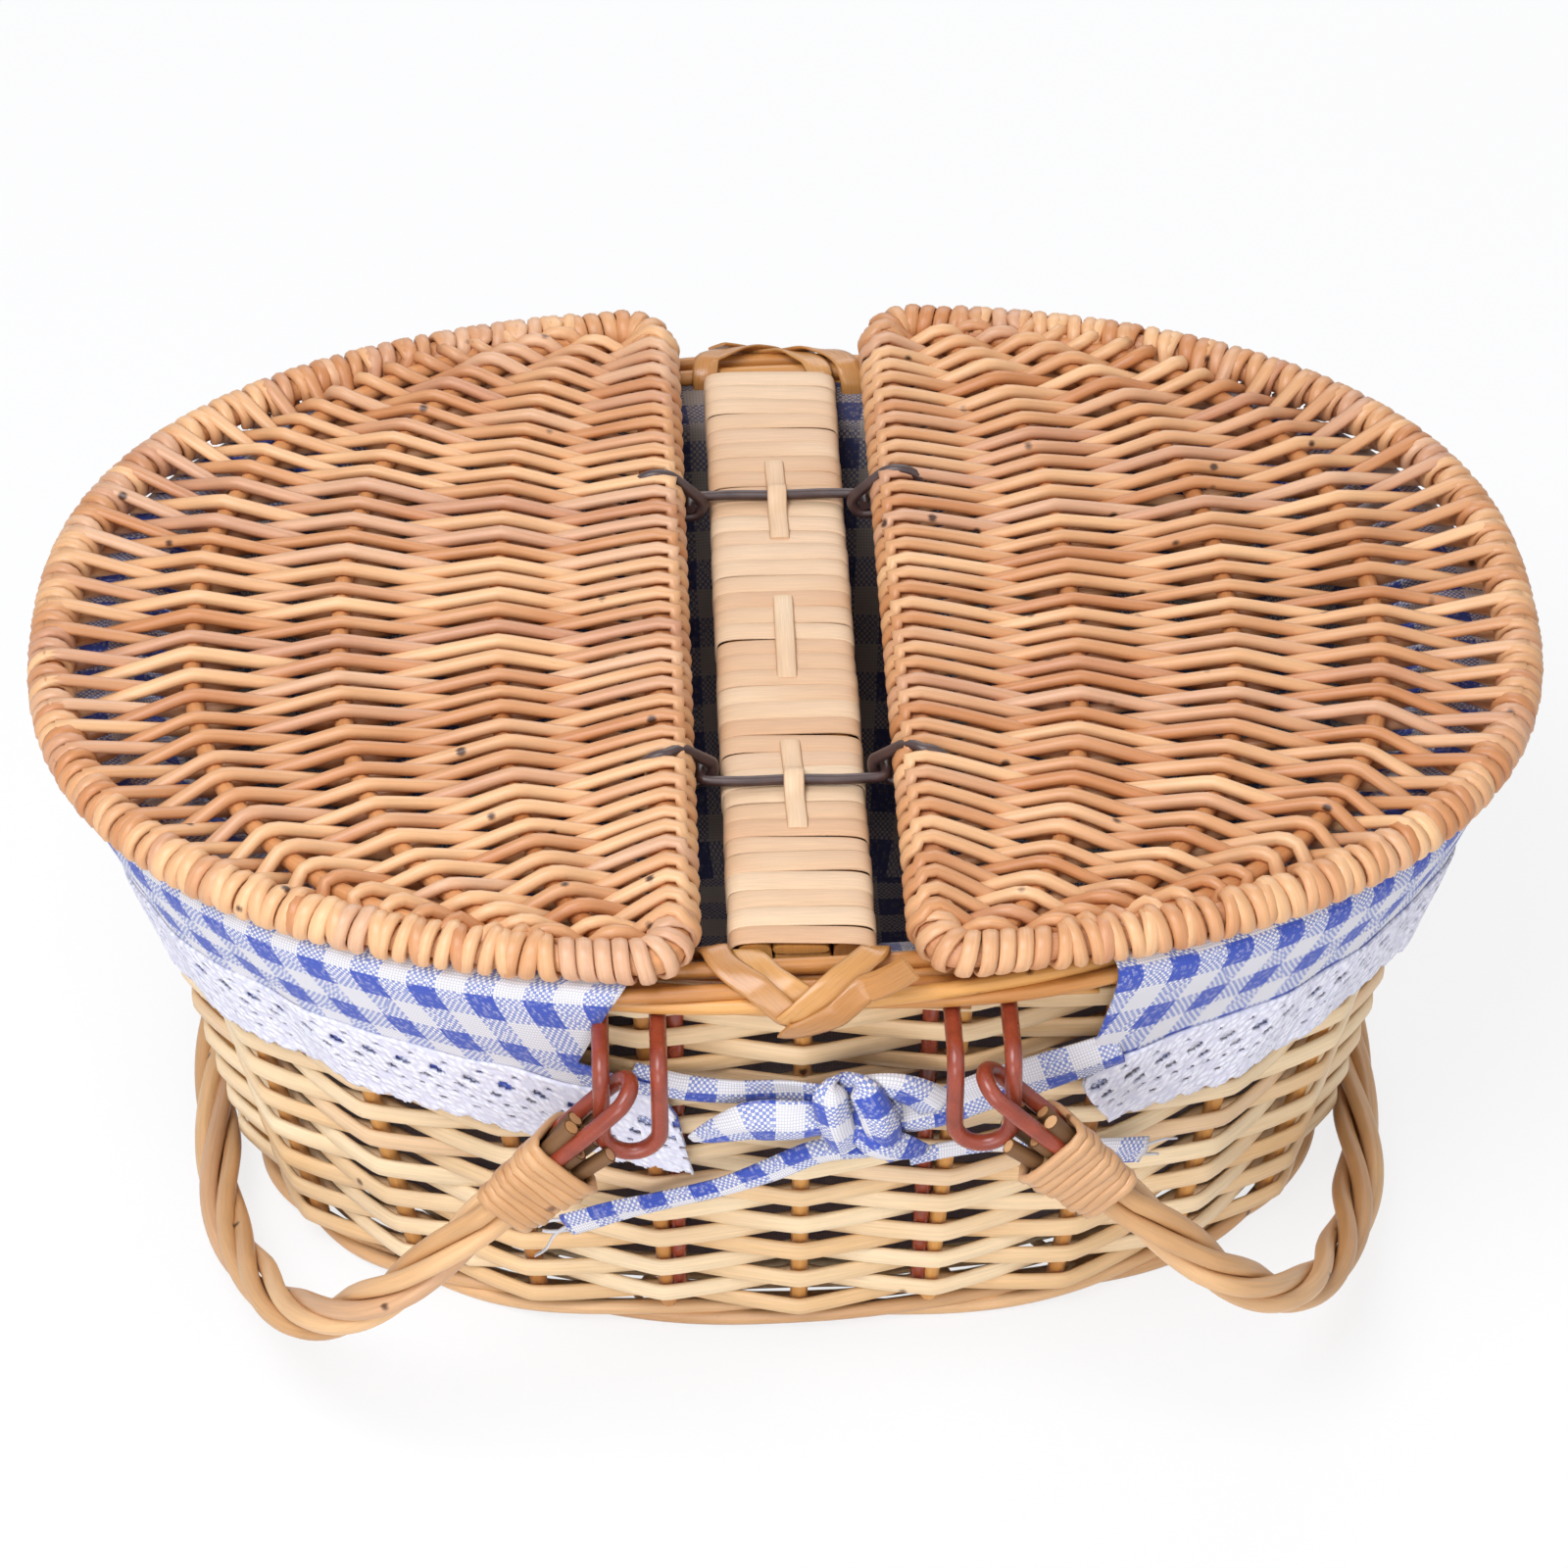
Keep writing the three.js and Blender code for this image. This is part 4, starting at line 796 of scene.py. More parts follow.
# %% [markdown]
# ## Centre bar
# The bar between the lids is a stack of slats with a rod on each side, wrapped all along in shaved willow
# skein. Three short keeper strips lie along the top with their ends tucked into the wraps, and the outer
# two hold the hinge wires down. One spiral would be just as true, but its edges would lie too evenly. So
# each wrap is a closed ring, a little askew, and the edges overlap unevenly.

# %% Wraps, slats, side rods and keeper strips
BAR_Z = 151.3
BAR_TOP = 157.3
BAR_END = 124.5
BAR_HALF = (18.8, 6.0)
WRAPS = 36
WRAP_MARGIN = 3.0
SQUARE = 5.0
RING_POINTS = 44
SKEIN_EDGE = 0.55
SLAT_LEVELS = (-2.9, 0.0, 2.9)
SIDE_ROD_X = 12.0
SIDE_ROD_SIZE = 8.8
# The middle of each keeper strip, and how far what it holds lifts it.
KEEPERS = ((-62.5, 3.7), (0.0, 0.5), (62.5, 3.7))


def bar_ring(y, inset, lean):
    """Points and facings of one wrap: a rounded rectangle across the bar."""
    angle = np.linspace(0, FULL_TURN, RING_POINTS, endpoint=False)
    half_x, half_z = BAR_HALF[0] - inset, BAR_HALF[1] - inset
    c, s = np.cos(angle), np.sin(angle)
    x = half_x * np.sign(c) * np.abs(c) ** (2 / SQUARE)
    z = half_z * np.sign(s) * np.abs(s) ** (2 / SQUARE)
    slope = np.column_stack((np.sign(x) * np.abs(x / half_x) ** (SQUARE - 1) / half_x, np.zeros(RING_POINTS),
                             np.sign(z) * np.abs(z / half_z) ** (SQUARE - 1) / half_z))
    slope /= np.linalg.norm(slope, axis=1, keepdims=True)
    return np.column_stack((x, y + lean * x / 18.0, BAR_Z + z)), slope


wraps = Bundle(47)
draw = wraps.draw
wrap_pitch = 2 * (BAR_END - WRAP_MARGIN) / (WRAPS - 1)
for i in range(WRAPS):
    y = -BAR_END + WRAP_MARGIN + i * wrap_pitch + draw.normal(0, 0.3)
    path, face = bar_ring(y, draw.uniform(0.35, 0.75), draw.normal(0, 0.45))
    wraps.add(path, face, draw.normal(7.5, 0.3), 0.9, closed=True)
dress(wraps.sweep("bar_wraps", SKEIN, 8, SKEIN_EDGE), "basket", "split_skein", "bar_wrap")

core = Bundle(49)
for slat_level in SLAT_LEVELS:
    end = BAR_END + core.draw.normal(0.4, 0.3)
    x = core.draw.normal(0, 0.3)
    z = BAR_Z + slat_level
    core.add(np.linspace((x, -end, z), (x, end, z), 20), UP, 14.2, 2.7)
for side in (-1, 1):
    x = side * SIDE_ROD_X
    end = BAR_END - 0.4
    core.add(np.linspace((x, -end, BAR_Z), (x, end, BAR_Z), 20), UP, SIDE_ROD_SIZE, SIDE_ROD_SIZE)
dress(core.sweep("bar_core", BORDER, 12, 0.6), "basket", "amber_willow", "bar_slat", "bar_rod_left",
      "bar_rod_right")

keepers = Bundle(51)
for middle, lift in KEEPERS:
    skew = keepers.draw.normal(0, 0.6)
    rows = [(-skew, middle - 18, BAR_TOP - 0.2), (-skew, middle - 15, BAR_TOP + 0.3),
            (0, middle - 6, BAR_TOP + 0.5), (0, middle, BAR_TOP + 0.3 + lift), (0, middle + 6, BAR_TOP + 0.5),
            (skew, middle + 15, BAR_TOP + 0.3), (skew, middle + 18, BAR_TOP - 0.2)]
    keepers.add(smooth(rows, 1.5), UP, 5.4, 1.0)
dress(keepers.sweep("bar_keepers", SKEIN, 8, SKEIN_EDGE), "basket", "split_skein", "bar_strip_front",
      "bar_strip_middle", "bar_strip_rear")

# %% [markdown]
# ## Lashings
# At each end of the bar broad glossy skein crosses over the rim and ties the bar to it. At the front one
# end was left standing out on the right. A strap lies flat on whatever it crosses, so its route is given as
# x and as a place on one profile of the rim, and the facing comes from the same profile.

# %% Lashings
# Points of y and z over the rim, and the way that a strap faces at each, in degrees above level.
LASHING_PROFILE = np.array([(-121, 156.2), (-127, 156.5), (-133, 156.1), (-138.8, 154.0), (-142.2, 149.4),
                            (-141.2, 144.6), (-137.5, 142.2)])
LASHING_FACING = (90, 88, 75, 42, 5, -22, -50)
PROFILE_STEP = 6
STRAP_WIDE = 7.4
STRAP_THICK = 1.0
# A strap has points that lead up from under the bar, a route, and how far it lies above the rim.
STRAPS = (
    (((-14.5, -125.2, 150), (-14.5, -125.6, 155)),
     ((-13, 1.5), (-8, 2.6), (-1.5, 3.4), (4, 4.1), (8, 5.0)), 0.2),
    (((-24, -123, 148), (-24, -123.3, 153.5)),
     ((-22.5, 1.0), (-20, 1.9), (-16, 2.5), (-10.5, 3.2), (-4, 4.2), (2, 5.0), (6, 5.9)), 0.9),
    (((18, -125.2, 150), (18.2, -125.6, 155)),
     ((17.5, 1.5), (13, 2.2), (5, 3.2), (-2, 4.1), (-5.5, 4.8)), 1.7),
    ((), ((-5.5, 4.9), (-3, 5.0), (3, 4.5), (9, 3.8), (14.5, 3.1)), 2.5),
)
LEAD_FACING = [(0, 1, 0.1), (0, 0.8, 0.6)]
# The loose end leans out by the first step and curls up by the second.
LOOSE_LEAN = (11.0, -3.5, 6)
LOOSE_CURL = (0, -1.5, 5)


def strap(route, lift):
    """A lashing strap. route has x, and how far down the rim it lies, by points of the profile."""
    x, down = smooth([(a, b * PROFILE_STEP, 0) for a, b in route], 1.5)[:, :2].T
    last = len(LASHING_PROFILE) - 1
    down = np.clip(down / PROFILE_STEP, 0, last)
    y, z, facing = (np.interp(down, np.arange(last + 1), values)
                    for values in (*LASHING_PROFILE.T, LASHING_FACING))
    facing = np.radians(facing)
    face = np.column_stack((np.zeros(len(x)), -np.cos(facing), np.sin(facing)))
    return np.column_stack((x, y, z)) + face * lift, face


lashings = Bundle(53)
for turned in (-1, 1):
    for lead, route, lift in STRAPS:
        path, face = strap(route, lift)
        if lead:
            path = np.vstack((lead, path[::3]))
            face = np.vstack((LEAD_FACING, face[::3]))
            path, face = np.split(smooth(np.hstack((path, face)), 1.5), 2, axis=1)
        elif turned < 0:
            loose = np.linspace(0, 1, 9)[1:, None]
            path = np.vstack((path, path[-1] + loose * LOOSE_LEAN + loose ** 2 * LOOSE_CURL))
            face = np.vstack((face, np.tile(face[-1], (len(loose), 1))))
        flip = np.array((-turned, -turned, 1))
        lashings.add(path * flip, face * flip, STRAP_WIDE, STRAP_THICK)
dress(lashings.sweep("bar_lashings", STRAP, 8, SKEIN_EDGE), "basket", "split_skein", "bar_lashing_front",
      "bar_lashing_rear")

# %% [markdown]
# ## Wire hinges
# Two dark wires lie across the bar under the keeper strips. Beside the bar each end turns along the lids'
# turning line, and a second wire belts it to the lid's straight rod, so the lid can swing round it. Where
# the belt's ends are twisted together it is thicker. The wires on the bar ride with the basket, and the
# belts with their lid.

# %% Hinge wires and belts
HINGE_X = 24.0
HINGE_Y = 58.0
HINGE_Z = 159.1
WIRE_Y = 62.5
HINGE_WIRE = 2.8
BELT_WIRE = 3.0
BELT_ROUND_WIRE = 3.4
BELT_ROUND_SPINE = 7.2
BELT_LEAN = {-1: -8.0, 1: -1.0}
# The twist's place beside the turning line as x and z, how far it reaches, and what it adds each way.
TWIST_AT = np.array((24.4, 162.5))
TWIST_REACH = 8
TWIST_WIDE = 1.3
TWIST_THICK = 3.2
hinges = Bundle(55)
for end in (-1, 1):
    half = [(HINGE_X, end * 56, HINGE_Z), (HINGE_X, end * 60.2, HINGE_Z), (23.4, end * 62, HINGE_Z - 0.1),
            (21.5, end * WIRE_Y, HINGE_Z - 0.3), (12, end * (WIRE_Y + 0.4), HINGE_Z - 0.35)]
    rows = half + [(0, end * WIRE_Y, HINGE_Z - 0.35)] + [(-x, y, z) for x, y, z in half[::-1]]
    hinges.add(smooth(rows, 1.0), (0, 0.3, 1), HINGE_WIRE, HINGE_WIRE)
dress(hinges.sweep("hinge_wires", DARK_WIRE, 10), "basket", "dark_wire", "hinge_wire_front",
      "hinge_wire_rear")


def belt(end):
    """A closed wire round the hinge wire and the lid's straight rod, like a belt on two pulleys."""
    wire, spine = np.array((HINGE_X, HINGE_Z)), np.array((SPINE_U, LID_Z))
    rows = []
    for angle in np.linspace(0, FULL_TURN, 40, endpoint=False):
        away = np.array((math.cos(angle), math.sin(angle)))
        far = max(wire + away * BELT_ROUND_WIRE, spine + away * BELT_ROUND_SPINE, key=lambda p: p @ away)
        lean = BELT_LEAN[end] * np.clip((far[0] - HINGE_X) / (SPINE_U - HINGE_X), 0, 1)
        rows.append((far[0], end * HINGE_Y + lean + 0.5 * math.sin(angle), far[1]))
    return np.array(rows)


for name, side in (("left", -1), ("right", 1)):
    belts = Bundle(57)
    for end in (-1, 1):
        path = belt(end)
        twisted = np.exp(-np.sum((path[:, ::2] - TWIST_AT) ** 2, axis=1) / TWIST_REACH)
        belts.add(mirror(path, side), (0, 1, 0), BELT_WIRE + TWIST_WIDE * twisted,
                  BELT_WIRE + TWIST_THICK * twisted, closed=True)
    dress(belts.sweep(f"{name}_lid_belts", DARK_WIRE, 8), f"{name}_lid", "dark_wire",
          f"{name}_lid_tie_front", f"{name}_lid_tie_rear")

# %% [markdown]
# ## Loops, rings and handles
# Four loops of coated wire hang from under the rim border, and a tail of each runs down inside the weave
# beside a stake. Each end of a handle carries a long ring that is linked through a loop, so the handle can
# swing up. A handle is four willow rods twisted together. Cane binds their ends to the ring in a short cone
# that is nearly three-sided, and the cut ends of rods in their bark show in its mouth. Bending a finished
# straight handle would squash it, so the handle is drawn flat on its own turning line and then hung until
# its crown meets the wall.

# %% Loops under the rim
LOOP_X = 44.0
LOOP_RADIUS = 7.2
LOOP_PLANE = 153.5
LOOP_BOTTOM = 121
SHOULDER_Z = 141.5
RING_WIRE = 4.4
TAIL_X = 33.2
TAIL_END = 16
TAIL_OUT = -4.6
# One leg of a loop, as y and z from inside the border to the straight part outside.
LOOP_LEG = ((129, SHOULDER_Z + 1.0), (143.5, SHOULDER_Z), (148.5, SHOULDER_Z - 0.2), (152, SHOULDER_Z - 2),
            (LOOP_PLANE, SHOULDER_Z - 6))
loops = Bundle(61)
for x_side in (-1, 1):
    for y_side in (-1, 1):
        bight = [(LOOP_RADIUS * math.cos(a), LOOP_PLANE, LOOP_BOTTOM + LOOP_RADIUS * math.sin(a))
                 for a in np.linspace(math.pi, FULL_TURN, 9)]
        down = [(-LOOP_RADIUS, y, z) for y, z in LOOP_LEG]
        back = [(LOOP_RADIUS, y, z) for y, z in LOOP_LEG[::-1]]
        rows = np.array(down + bight + back) * (1, y_side, 1) + (x_side * LOOP_X, 0, 0)
        loops.add(smooth(rows, 1.5), (1, 0, 0.2), RING_WIRE, RING_WIRE)
        z = np.linspace(SHOULDER_Z, TAIL_END, 22)
        path = on_tub(angle_at(x_side * TAIL_X, z, y_side), z, TAIL_OUT)
        loops.add(path, outward(path), RING_WIRE, RING_WIRE)
dress(loops.sweep("wire_loops", RED_WIRE, 12), "basket", "red_wire", "loop_front_left", "loop_front_right",
      "loop_rear_left", "loop_rear_right")

# %% Shape of a handle
PIVOT_X = 50.7
PIVOT_Z = 129.0
TILT = math.radians(46.6)
HANDLE_START = 19.0
HANDLE_LEG = 75.0
HANDLE_REACH = 164.0
HANDLE_RODS = 4
HANDLE_TURNS = 4
HANDLE_LAY = 3.7
# The rods lie straight in the bindings, for this share of the length at each end.
TWIST_START = 0.055
ROD_SIZE = 5.2
BUNDLE_DROP = 2.9


def hang(rows, side):
    """From the flat handle, as outwards, along and up, to its place on the basket."""
    out, y, up = np.asarray(rows, float)[:, :3].T
    x = PIVOT_X + out * math.cos(TILT) + up * math.sin(TILT)
    return np.column_stack((side * x, y, PIVOT_Z - out * math.sin(TILT) + up * math.cos(TILT)))


def crown(t):
    """The middle line of the handle, from the front end at 0 to the rear end at 1."""
    leg = HANDLE_LEG - HANDLE_START
    bow = HANDLE_REACH - HANDLE_LEG
    share = leg / (2 * leg + math.pi * math.hypot(bow, LOOP_PLANE) / math.sqrt(2))
    near = np.minimum(t, 1 - t)
    angle = math.pi * (t - share) / (1 - 2 * share)
    on_leg = near < share
    out = np.where(on_leg, HANDLE_START + leg * near / share, HANDLE_LEG + bow * np.sin(angle))
    y = np.where(on_leg, np.where(t < 0.5, -LOOP_PLANE, LOOP_PLANE), -LOOP_PLANE * np.cos(angle))
    return np.column_stack((out, y))


def handle_rod(phase, wander):
    """One rod of the twist. Its distance from the middle line varies a little, by wander's own wave."""
    t = np.linspace(0, 1, 160)
    here = crown(t)
    run = crown(np.minimum(t + 0.002, 1)) - crown(np.maximum(t - 0.002, 0))
    run /= np.linalg.norm(run, axis=1, keepdims=True)
    twist = np.clip((t - TWIST_START) / (1 - 2 * TWIST_START), 0, 1)
    angle = phase + FULL_TURN * HANDLE_TURNS * twist
    lay = HANDLE_LAY * (1 + 0.22 * np.sin(FULL_TURN * 3 * t + wander) * np.sin(math.pi * t))
    off = lay * np.cos(angle)
    return np.column_stack((here[:, 0] + run[:, 1] * off, here[:, 1] - run[:, 0] * off,
                            lay * np.sin(angle) - BUNDLE_DROP))


# %% Bindings, cut ends and rings of a handle
CORNERS = np.radians((120, 240, 360))
# Cut ends in the mouth of a binding: one in the middle, one in each corner and one at each side.
STUBS = ([(0.0, 0.0)] + [(6.4, corner) for corner in CORNERS]
         + [(4.0, corner + math.pi / 3) for corner in CORNERS])
STUB_STARTS = (6.5, 12.5)
STUB_SIZES = (4.2, 5.0)
STUB_END = 26
STUB_SPREAD = 0.02
STUB_NEUTRAL = 18
PITH_MARGIN = 1.0
BINDING_TURNS = 9
BINDING_STEPS = 24
BINDING_START = 17.0
BINDING_LENGTH = 24.0
BINDING_MOUTH = 7.7
BINDING_TAPER = 2.0
CANE_WIDE = 3.1
CANE_THICK = 2.2
RING_BIGHT = 5.4
RING_TIP = -4.4
# One leg of a ring, as outwards and half the width there.
RING_LEG = ((5, 5.7), (16, 5.2), (37, 3.4))


def three_sided(a):
    """Distance to a rounded triangle at angle a, for a distance of 1 to the middle of its sides."""
    sides = np.maximum(np.cos(a - CORNERS - math.pi / 3), 0)
    return np.sum(sides ** 3) ** (-1 / 3)


def binding_coil(end):
    """The cane wound round one end of the handle, and a second row that is further out by 1."""
    coil, further = [], []
    for share in np.linspace(0, 1, BINDING_TURNS * BINDING_STEPS):
        a = FULL_TURN * BINDING_TURNS * share
        radius = (BINDING_MOUTH - BINDING_TAPER * share + 0.25 * math.sin(2.3 * a)) * three_sided(a)
        facing = np.array((0, -end * math.cos(a), math.sin(a)))
        middle = (BINDING_START + BINDING_LENGTH * share, end * LOOP_PLANE, -BUNDLE_DROP)
        coil.append(middle + facing * radius)
        further.append(coil[-1] + facing)
    return coil, further


def ring_line(end):
    """The long ring at one end of the handle."""
    bight = [(RING_TIP - RING_BIGHT * math.cos(a), RING_BIGHT * math.sin(a))
             for a in np.linspace(-math.pi / 2, math.pi / 2, 9)]
    line = [(u, -half) for u, half in RING_LEG[::-1]] + bight + list(RING_LEG)
    return smooth([(u, end * LOOP_PLANE + y, 0) for u, y in line], 1.5)


def stub_line(end, radius, a, start):
    """The middle line of one cut end, from its tip into the binding."""
    out = np.linspace(start, STUB_END, 6)
    spread = radius * (1 + STUB_SPREAD * (STUB_NEUTRAL - out))
    return np.column_stack((out, end * (LOOP_PLANE - spread * math.cos(a)),
                            spread * math.sin(a) - BUNDLE_DROP))


# %% Both handles
def make_handle(name, side, seed):
    """The rods, bindings, rings and cut ends of one handle. The pale pith goes with the rods."""
    body = f"{name}_handle"
    up = np.array((side * math.sin(TILT), 0, math.cos(TILT)))
    rods, stubs, cane, rings = (Bundle(seed + k) for k in range(4))
    draw = rods.draw
    for k in range(HANDLE_RODS):
        size = draw.normal(ROD_SIZE, 0.15)
        line = handle_rod(FULL_TURN * (k + 0.5) / HANDLE_RODS, draw.uniform(0, 6.28))
        rods.add(hang(line, side), up, size, size)
    for end in (-1, 1):
        for radius, a in STUBS:
            start = draw.uniform(*STUB_STARTS)
            size = draw.uniform(*STUB_SIZES)
            rows = stub_line(end, radius, a, start)
            stubs.add(hang(rows, side), up, size, size)
            back = (rows[1] - rows[0]) / np.linalg.norm(rows[1] - rows[0])
            pith = [rows[0] - back * 0.12, rows[0] + back * 0.5]
            rods.add(hang(pith, side), up, size - PITH_MARGIN, size - PITH_MARGIN)
        coil, further = (hang(rows, side) for rows in binding_coil(end))
        cane.add(coil, further - coil, CANE_WIDE, CANE_THICK)
        rings.add(hang(ring_line(end), side), up, RING_WIRE, RING_WIRE)
    dress(rods.sweep(f"{name}_handle_rods", HANDLE, 10), body, "honey_willow", f"{body}_rod_1",
          f"{body}_rod_2", f"{body}_rod_3")
    dress(cane.sweep(f"{name}_handle_cane", CANE, 10, 0.9), body, "split_skein", f"{body}_binding_front",
          f"{body}_binding_rear")
    dress(rings.sweep(f"{name}_handle_rings", RED_WIRE, 12), body, "red_wire", f"{body}_ring_front",
          f"{body}_ring_rear")
    butts = stubs.sweep(f"{name}_handle_stubs", BARK, 10)
    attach(butts, body)


make_handle("left", -1, 71)
make_handle("right", 1, 81)

# %% [markdown]
# ## Checked cotton and lace
# The liner is a plain-woven cotton check. Blue and white yarns alternate in stripes of 7.5 mm, both ways.
# Where blue crosses blue the square is solid, and where it crosses white the two yarns show as speckles. So
# the material weaves it: a fine chequer picks the warp or the weft at each crossing, and each takes its
# colour from its own stripe. An image would be as good from afar, but it has no yarns close by. The lace is
# a crocheted cotton edging. Its eyelets are real holes in the mesh, and the stitches are a fine relief.

# %% Cotton materials
# One blue stripe and one white stripe together.
CHECK_MM = 15.0
# Real yarn is finer than this. It is drawn coarser, because it would be too fine to show.
YARN_MM = 0.75
YARN_RELIEF_MM = 0.3
# The yarns stray from straight lines by about this much, in waves of this length.
STRAY_MM = 0.8
STRAY_WAVE_MM = 9
STITCH_MM = 2.1
STITCH_RELIEF_MM = 0.9


def gingham(name, white, blue, mixed):
    """Cotton check. The UV map is in metres on the cloth, u across and v along."""
    made, tree = blank_material(name)
    cloth_uv = add(tree, "ShaderNodeUVMap", uv_map="cloth")
    slub = add(tree, "ShaderNodeTexNoise",
               {"Vector": cloth_uv, "Scale": 1 / (STRAY_WAVE_MM * MM), "Detail": 1.0}, "Color")
    shift = add(tree, "ShaderNodeVectorMath", {0: slub, 1: (0.5, 0.5, 0.5)}, operation="SUBTRACT")
    moved = add(tree, "ShaderNodeVectorMath", {0: shift, "Scale": STRAY_MM * MM}, operation="SCALE")
    place = add(tree, "ShaderNodeVectorMath", {0: cloth_uv, 1: moved}, operation="ADD")
    axes = add(tree, "ShaderNodeSeparateXYZ", {0: place}).node.outputs
    stripes, gaps, numbers = [], [], []
    for axis in ("X", "Y"):
        repeat = add(tree, "ShaderNodeMath", {0: axes[axis], 1: 1 / (CHECK_MM * MM)}, operation="MULTIPLY")
        part = add(tree, "ShaderNodeMath", {0: repeat}, operation="FRACT")
        stripes.append(add(tree, "ShaderNodeMath", {0: part, 1: 0.5}, operation="LESS_THAN"))
        yarn = add(tree, "ShaderNodeMath", {0: axes[axis], 1: 1 / (YARN_MM * MM)}, operation="MULTIPLY")
        numbers.append(add(tree, "ShaderNodeMath", {0: yarn}, operation="FLOOR"))
        inside = add(tree, "ShaderNodeMath", {0: yarn}, operation="FRACT")
        gaps.append(add(tree, "ShaderNodeMath", {0: inside, 1: 0.5, 2: 0.3}, operation="COMPARE"))

    solid = add(tree, "ShaderNodeMath", {0: stripes[0], 1: stripes[1]}, operation="MULTIPLY")
    dye = add(tree, "ShaderNodeMix", {0: solid, 6: linear(mixed), 7: linear(blue)}, MIXED, data_type="RGBA")
    over = add(tree, "ShaderNodeTexChecker", {"Vector": place, "Color1": (0, 0, 0, 1), "Color2": (1, 1, 1, 1),
                                             "Scale": 1 / (YARN_MM * MM)}, "Fac")
    shown = add(tree, "ShaderNodeMix", {0: over, 2: stripes[0], 3: stripes[1]})
    dyed = add(tree, "ShaderNodeMix", {0: shown, 6: linear(white), 7: dye}, MIXED, data_type="RGBA")
    yarns = add(tree, "ShaderNodeCombineXYZ", {"X": numbers[0], "Y": numbers[1]})
    own = add(tree, "ShaderNodeTexWhiteNoise", {"Vector": yarns}, "Value", noise_dimensions="2D")
    worn = add(tree, "ShaderNodeMapRange", {"Value": own, "From Min": 0.6, "To Max": 0.3})
    flecked = add(tree, "ShaderNodeMix", {0: worn, 6: dyed, 7: linear(white)}, MIXED, data_type="RGBA")
    # Painted shade: each yarn is darkened towards its edges, where shade falls in the gaps between yarns.
    on_yarn = add(tree, "ShaderNodeMath", {0: gaps[0], 1: gaps[1]}, operation="MULTIPLY")
    shade = add(tree, "ShaderNodeMapRange", {"Value": on_yarn, "To Min": 0.72, "To Max": 1.0})
    colour = add(tree, "ShaderNodeMix", {0: 1.0, 6: flecked, 7: shade}, MIXED, data_type="RGBA",
                 blend_type="MULTIPLY")
    bump = add(tree, "ShaderNodeBump", {"Height": over, "Strength": 0.25, "Distance": YARN_RELIEF_MM * MM})
    skin = add(tree, "ShaderNodeBsdfPrincipled", {"Base Color": colour, "Roughness": 0.88, "Normal": bump,
                                                 "Sheen Weight": 0.15})
    add(tree, "ShaderNodeOutputMaterial", {"Surface": skin})
    return made


def crochet(name, white, shadow):
    """Cotton crochet: knotted yarn, so a relief of small stitches with soft grey painted shade between them.
    """
    made, tree = blank_material(name)
    cloth_uv = add(tree, "ShaderNodeUVMap", uv_map="cloth")
    cells = add(tree, "ShaderNodeTexVoronoi", {"Vector": cloth_uv, "Scale": 1 / (STITCH_MM * MM),
                                              "Randomness": 0.8}, "Distance")
    knots = add(tree, "ShaderNodeMapRange", {"Value": cells, "From Min": 0.1, "From Max": 0.75,
                                            "To Min": 1.0, "To Max": 0.0})
    colour = add(tree, "ShaderNodeMix", {0: knots, 6: linear(shadow), 7: linear(white)}, MIXED,
                 data_type="RGBA")
    bump = add(tree, "ShaderNodeBump", {"Height": knots, "Strength": 0.9, "Distance": STITCH_RELIEF_MM * MM})
    skin = add(tree, "ShaderNodeBsdfPrincipled", {"Base Color": colour, "Roughness": 0.92, "Normal": bump})
    add(tree, "ShaderNodeOutputMaterial", {"Surface": skin})
    return made


GINGHAM = gingham("cotton check, yarn dyed", "#E6E3E6", "#3B54B8", "#7C8DCB")
# The inside of the bag is the same check darkened as painted shade, for the gloom inside the closed basket.
PAINTED_SHADE_CHECK = gingham("cotton check, painted shade inside the bag", "#A2968C", "#3A3D66", "#5E5D78")
# The wrong side is a dark, nearly plain check: painted shade for the shade behind the weave.
PAINTED_SHADE_WRONG_SIDE = gingham("cotton, wrong side in painted shade", "#6E5F62", "#5C4F57", "#62555B")
LACE = crochet("cotton crochet lace", "#F8F7FD", "#D6D4E2")
print("cotton finishes:", len((GINGHAM, PAINTED_SHADE_CHECK, PAINTED_SHADE_WRONG_SIDE, LACE)))


# %% A sheet from a grid
CLOTH_THICK = 0.8


def sheet(name, points, uv, finish, thick, closed=False, keep=None):
    """Cloth from rows of points in millimetres. A closed one has one more column in uv than in points."""
    rows, columns = points.shape[:2]
    mesh = bpy.data.meshes.new(name)
    faces = []
    corners = []
    for r in range(rows - 1):
        for c in range(columns if closed else columns - 1):
            if keep is None or keep[r, c]:
                square = ((r, c), (r, c + 1), (r + 1, c + 1), (r + 1, c))
                faces.append([i * columns + j % columns for i, j in square])
                corners.extend(uv[i, j] for i, j in square)
    used = np.unique(faces)
    renumber = np.full(rows * columns, -1)
    renumber[used] = np.arange(len(used))
    mesh.from_pydata(points.reshape(-1, 3)[used] * MM, [], renumber[np.array(faces)].tolist())
    layer = mesh.uv_layers.new(name="cloth")
    layer.data.foreach_set("uv", np.array(corners, np.float32).ravel() * MM)
    mesh.polygons.foreach_set("use_smooth", np.ones(len(faces), bool))
    mesh.materials.append(finish)
    made = bpy.data.objects.new(name, mesh)
    scene.collection.objects.link(made)
    body = made.modifiers.new("thickness", "SOLIDIFY")
    body.thickness = thick * MM
    body.offset = 0.0
    print(f"{name}: {len(faces)} faces")
    return made


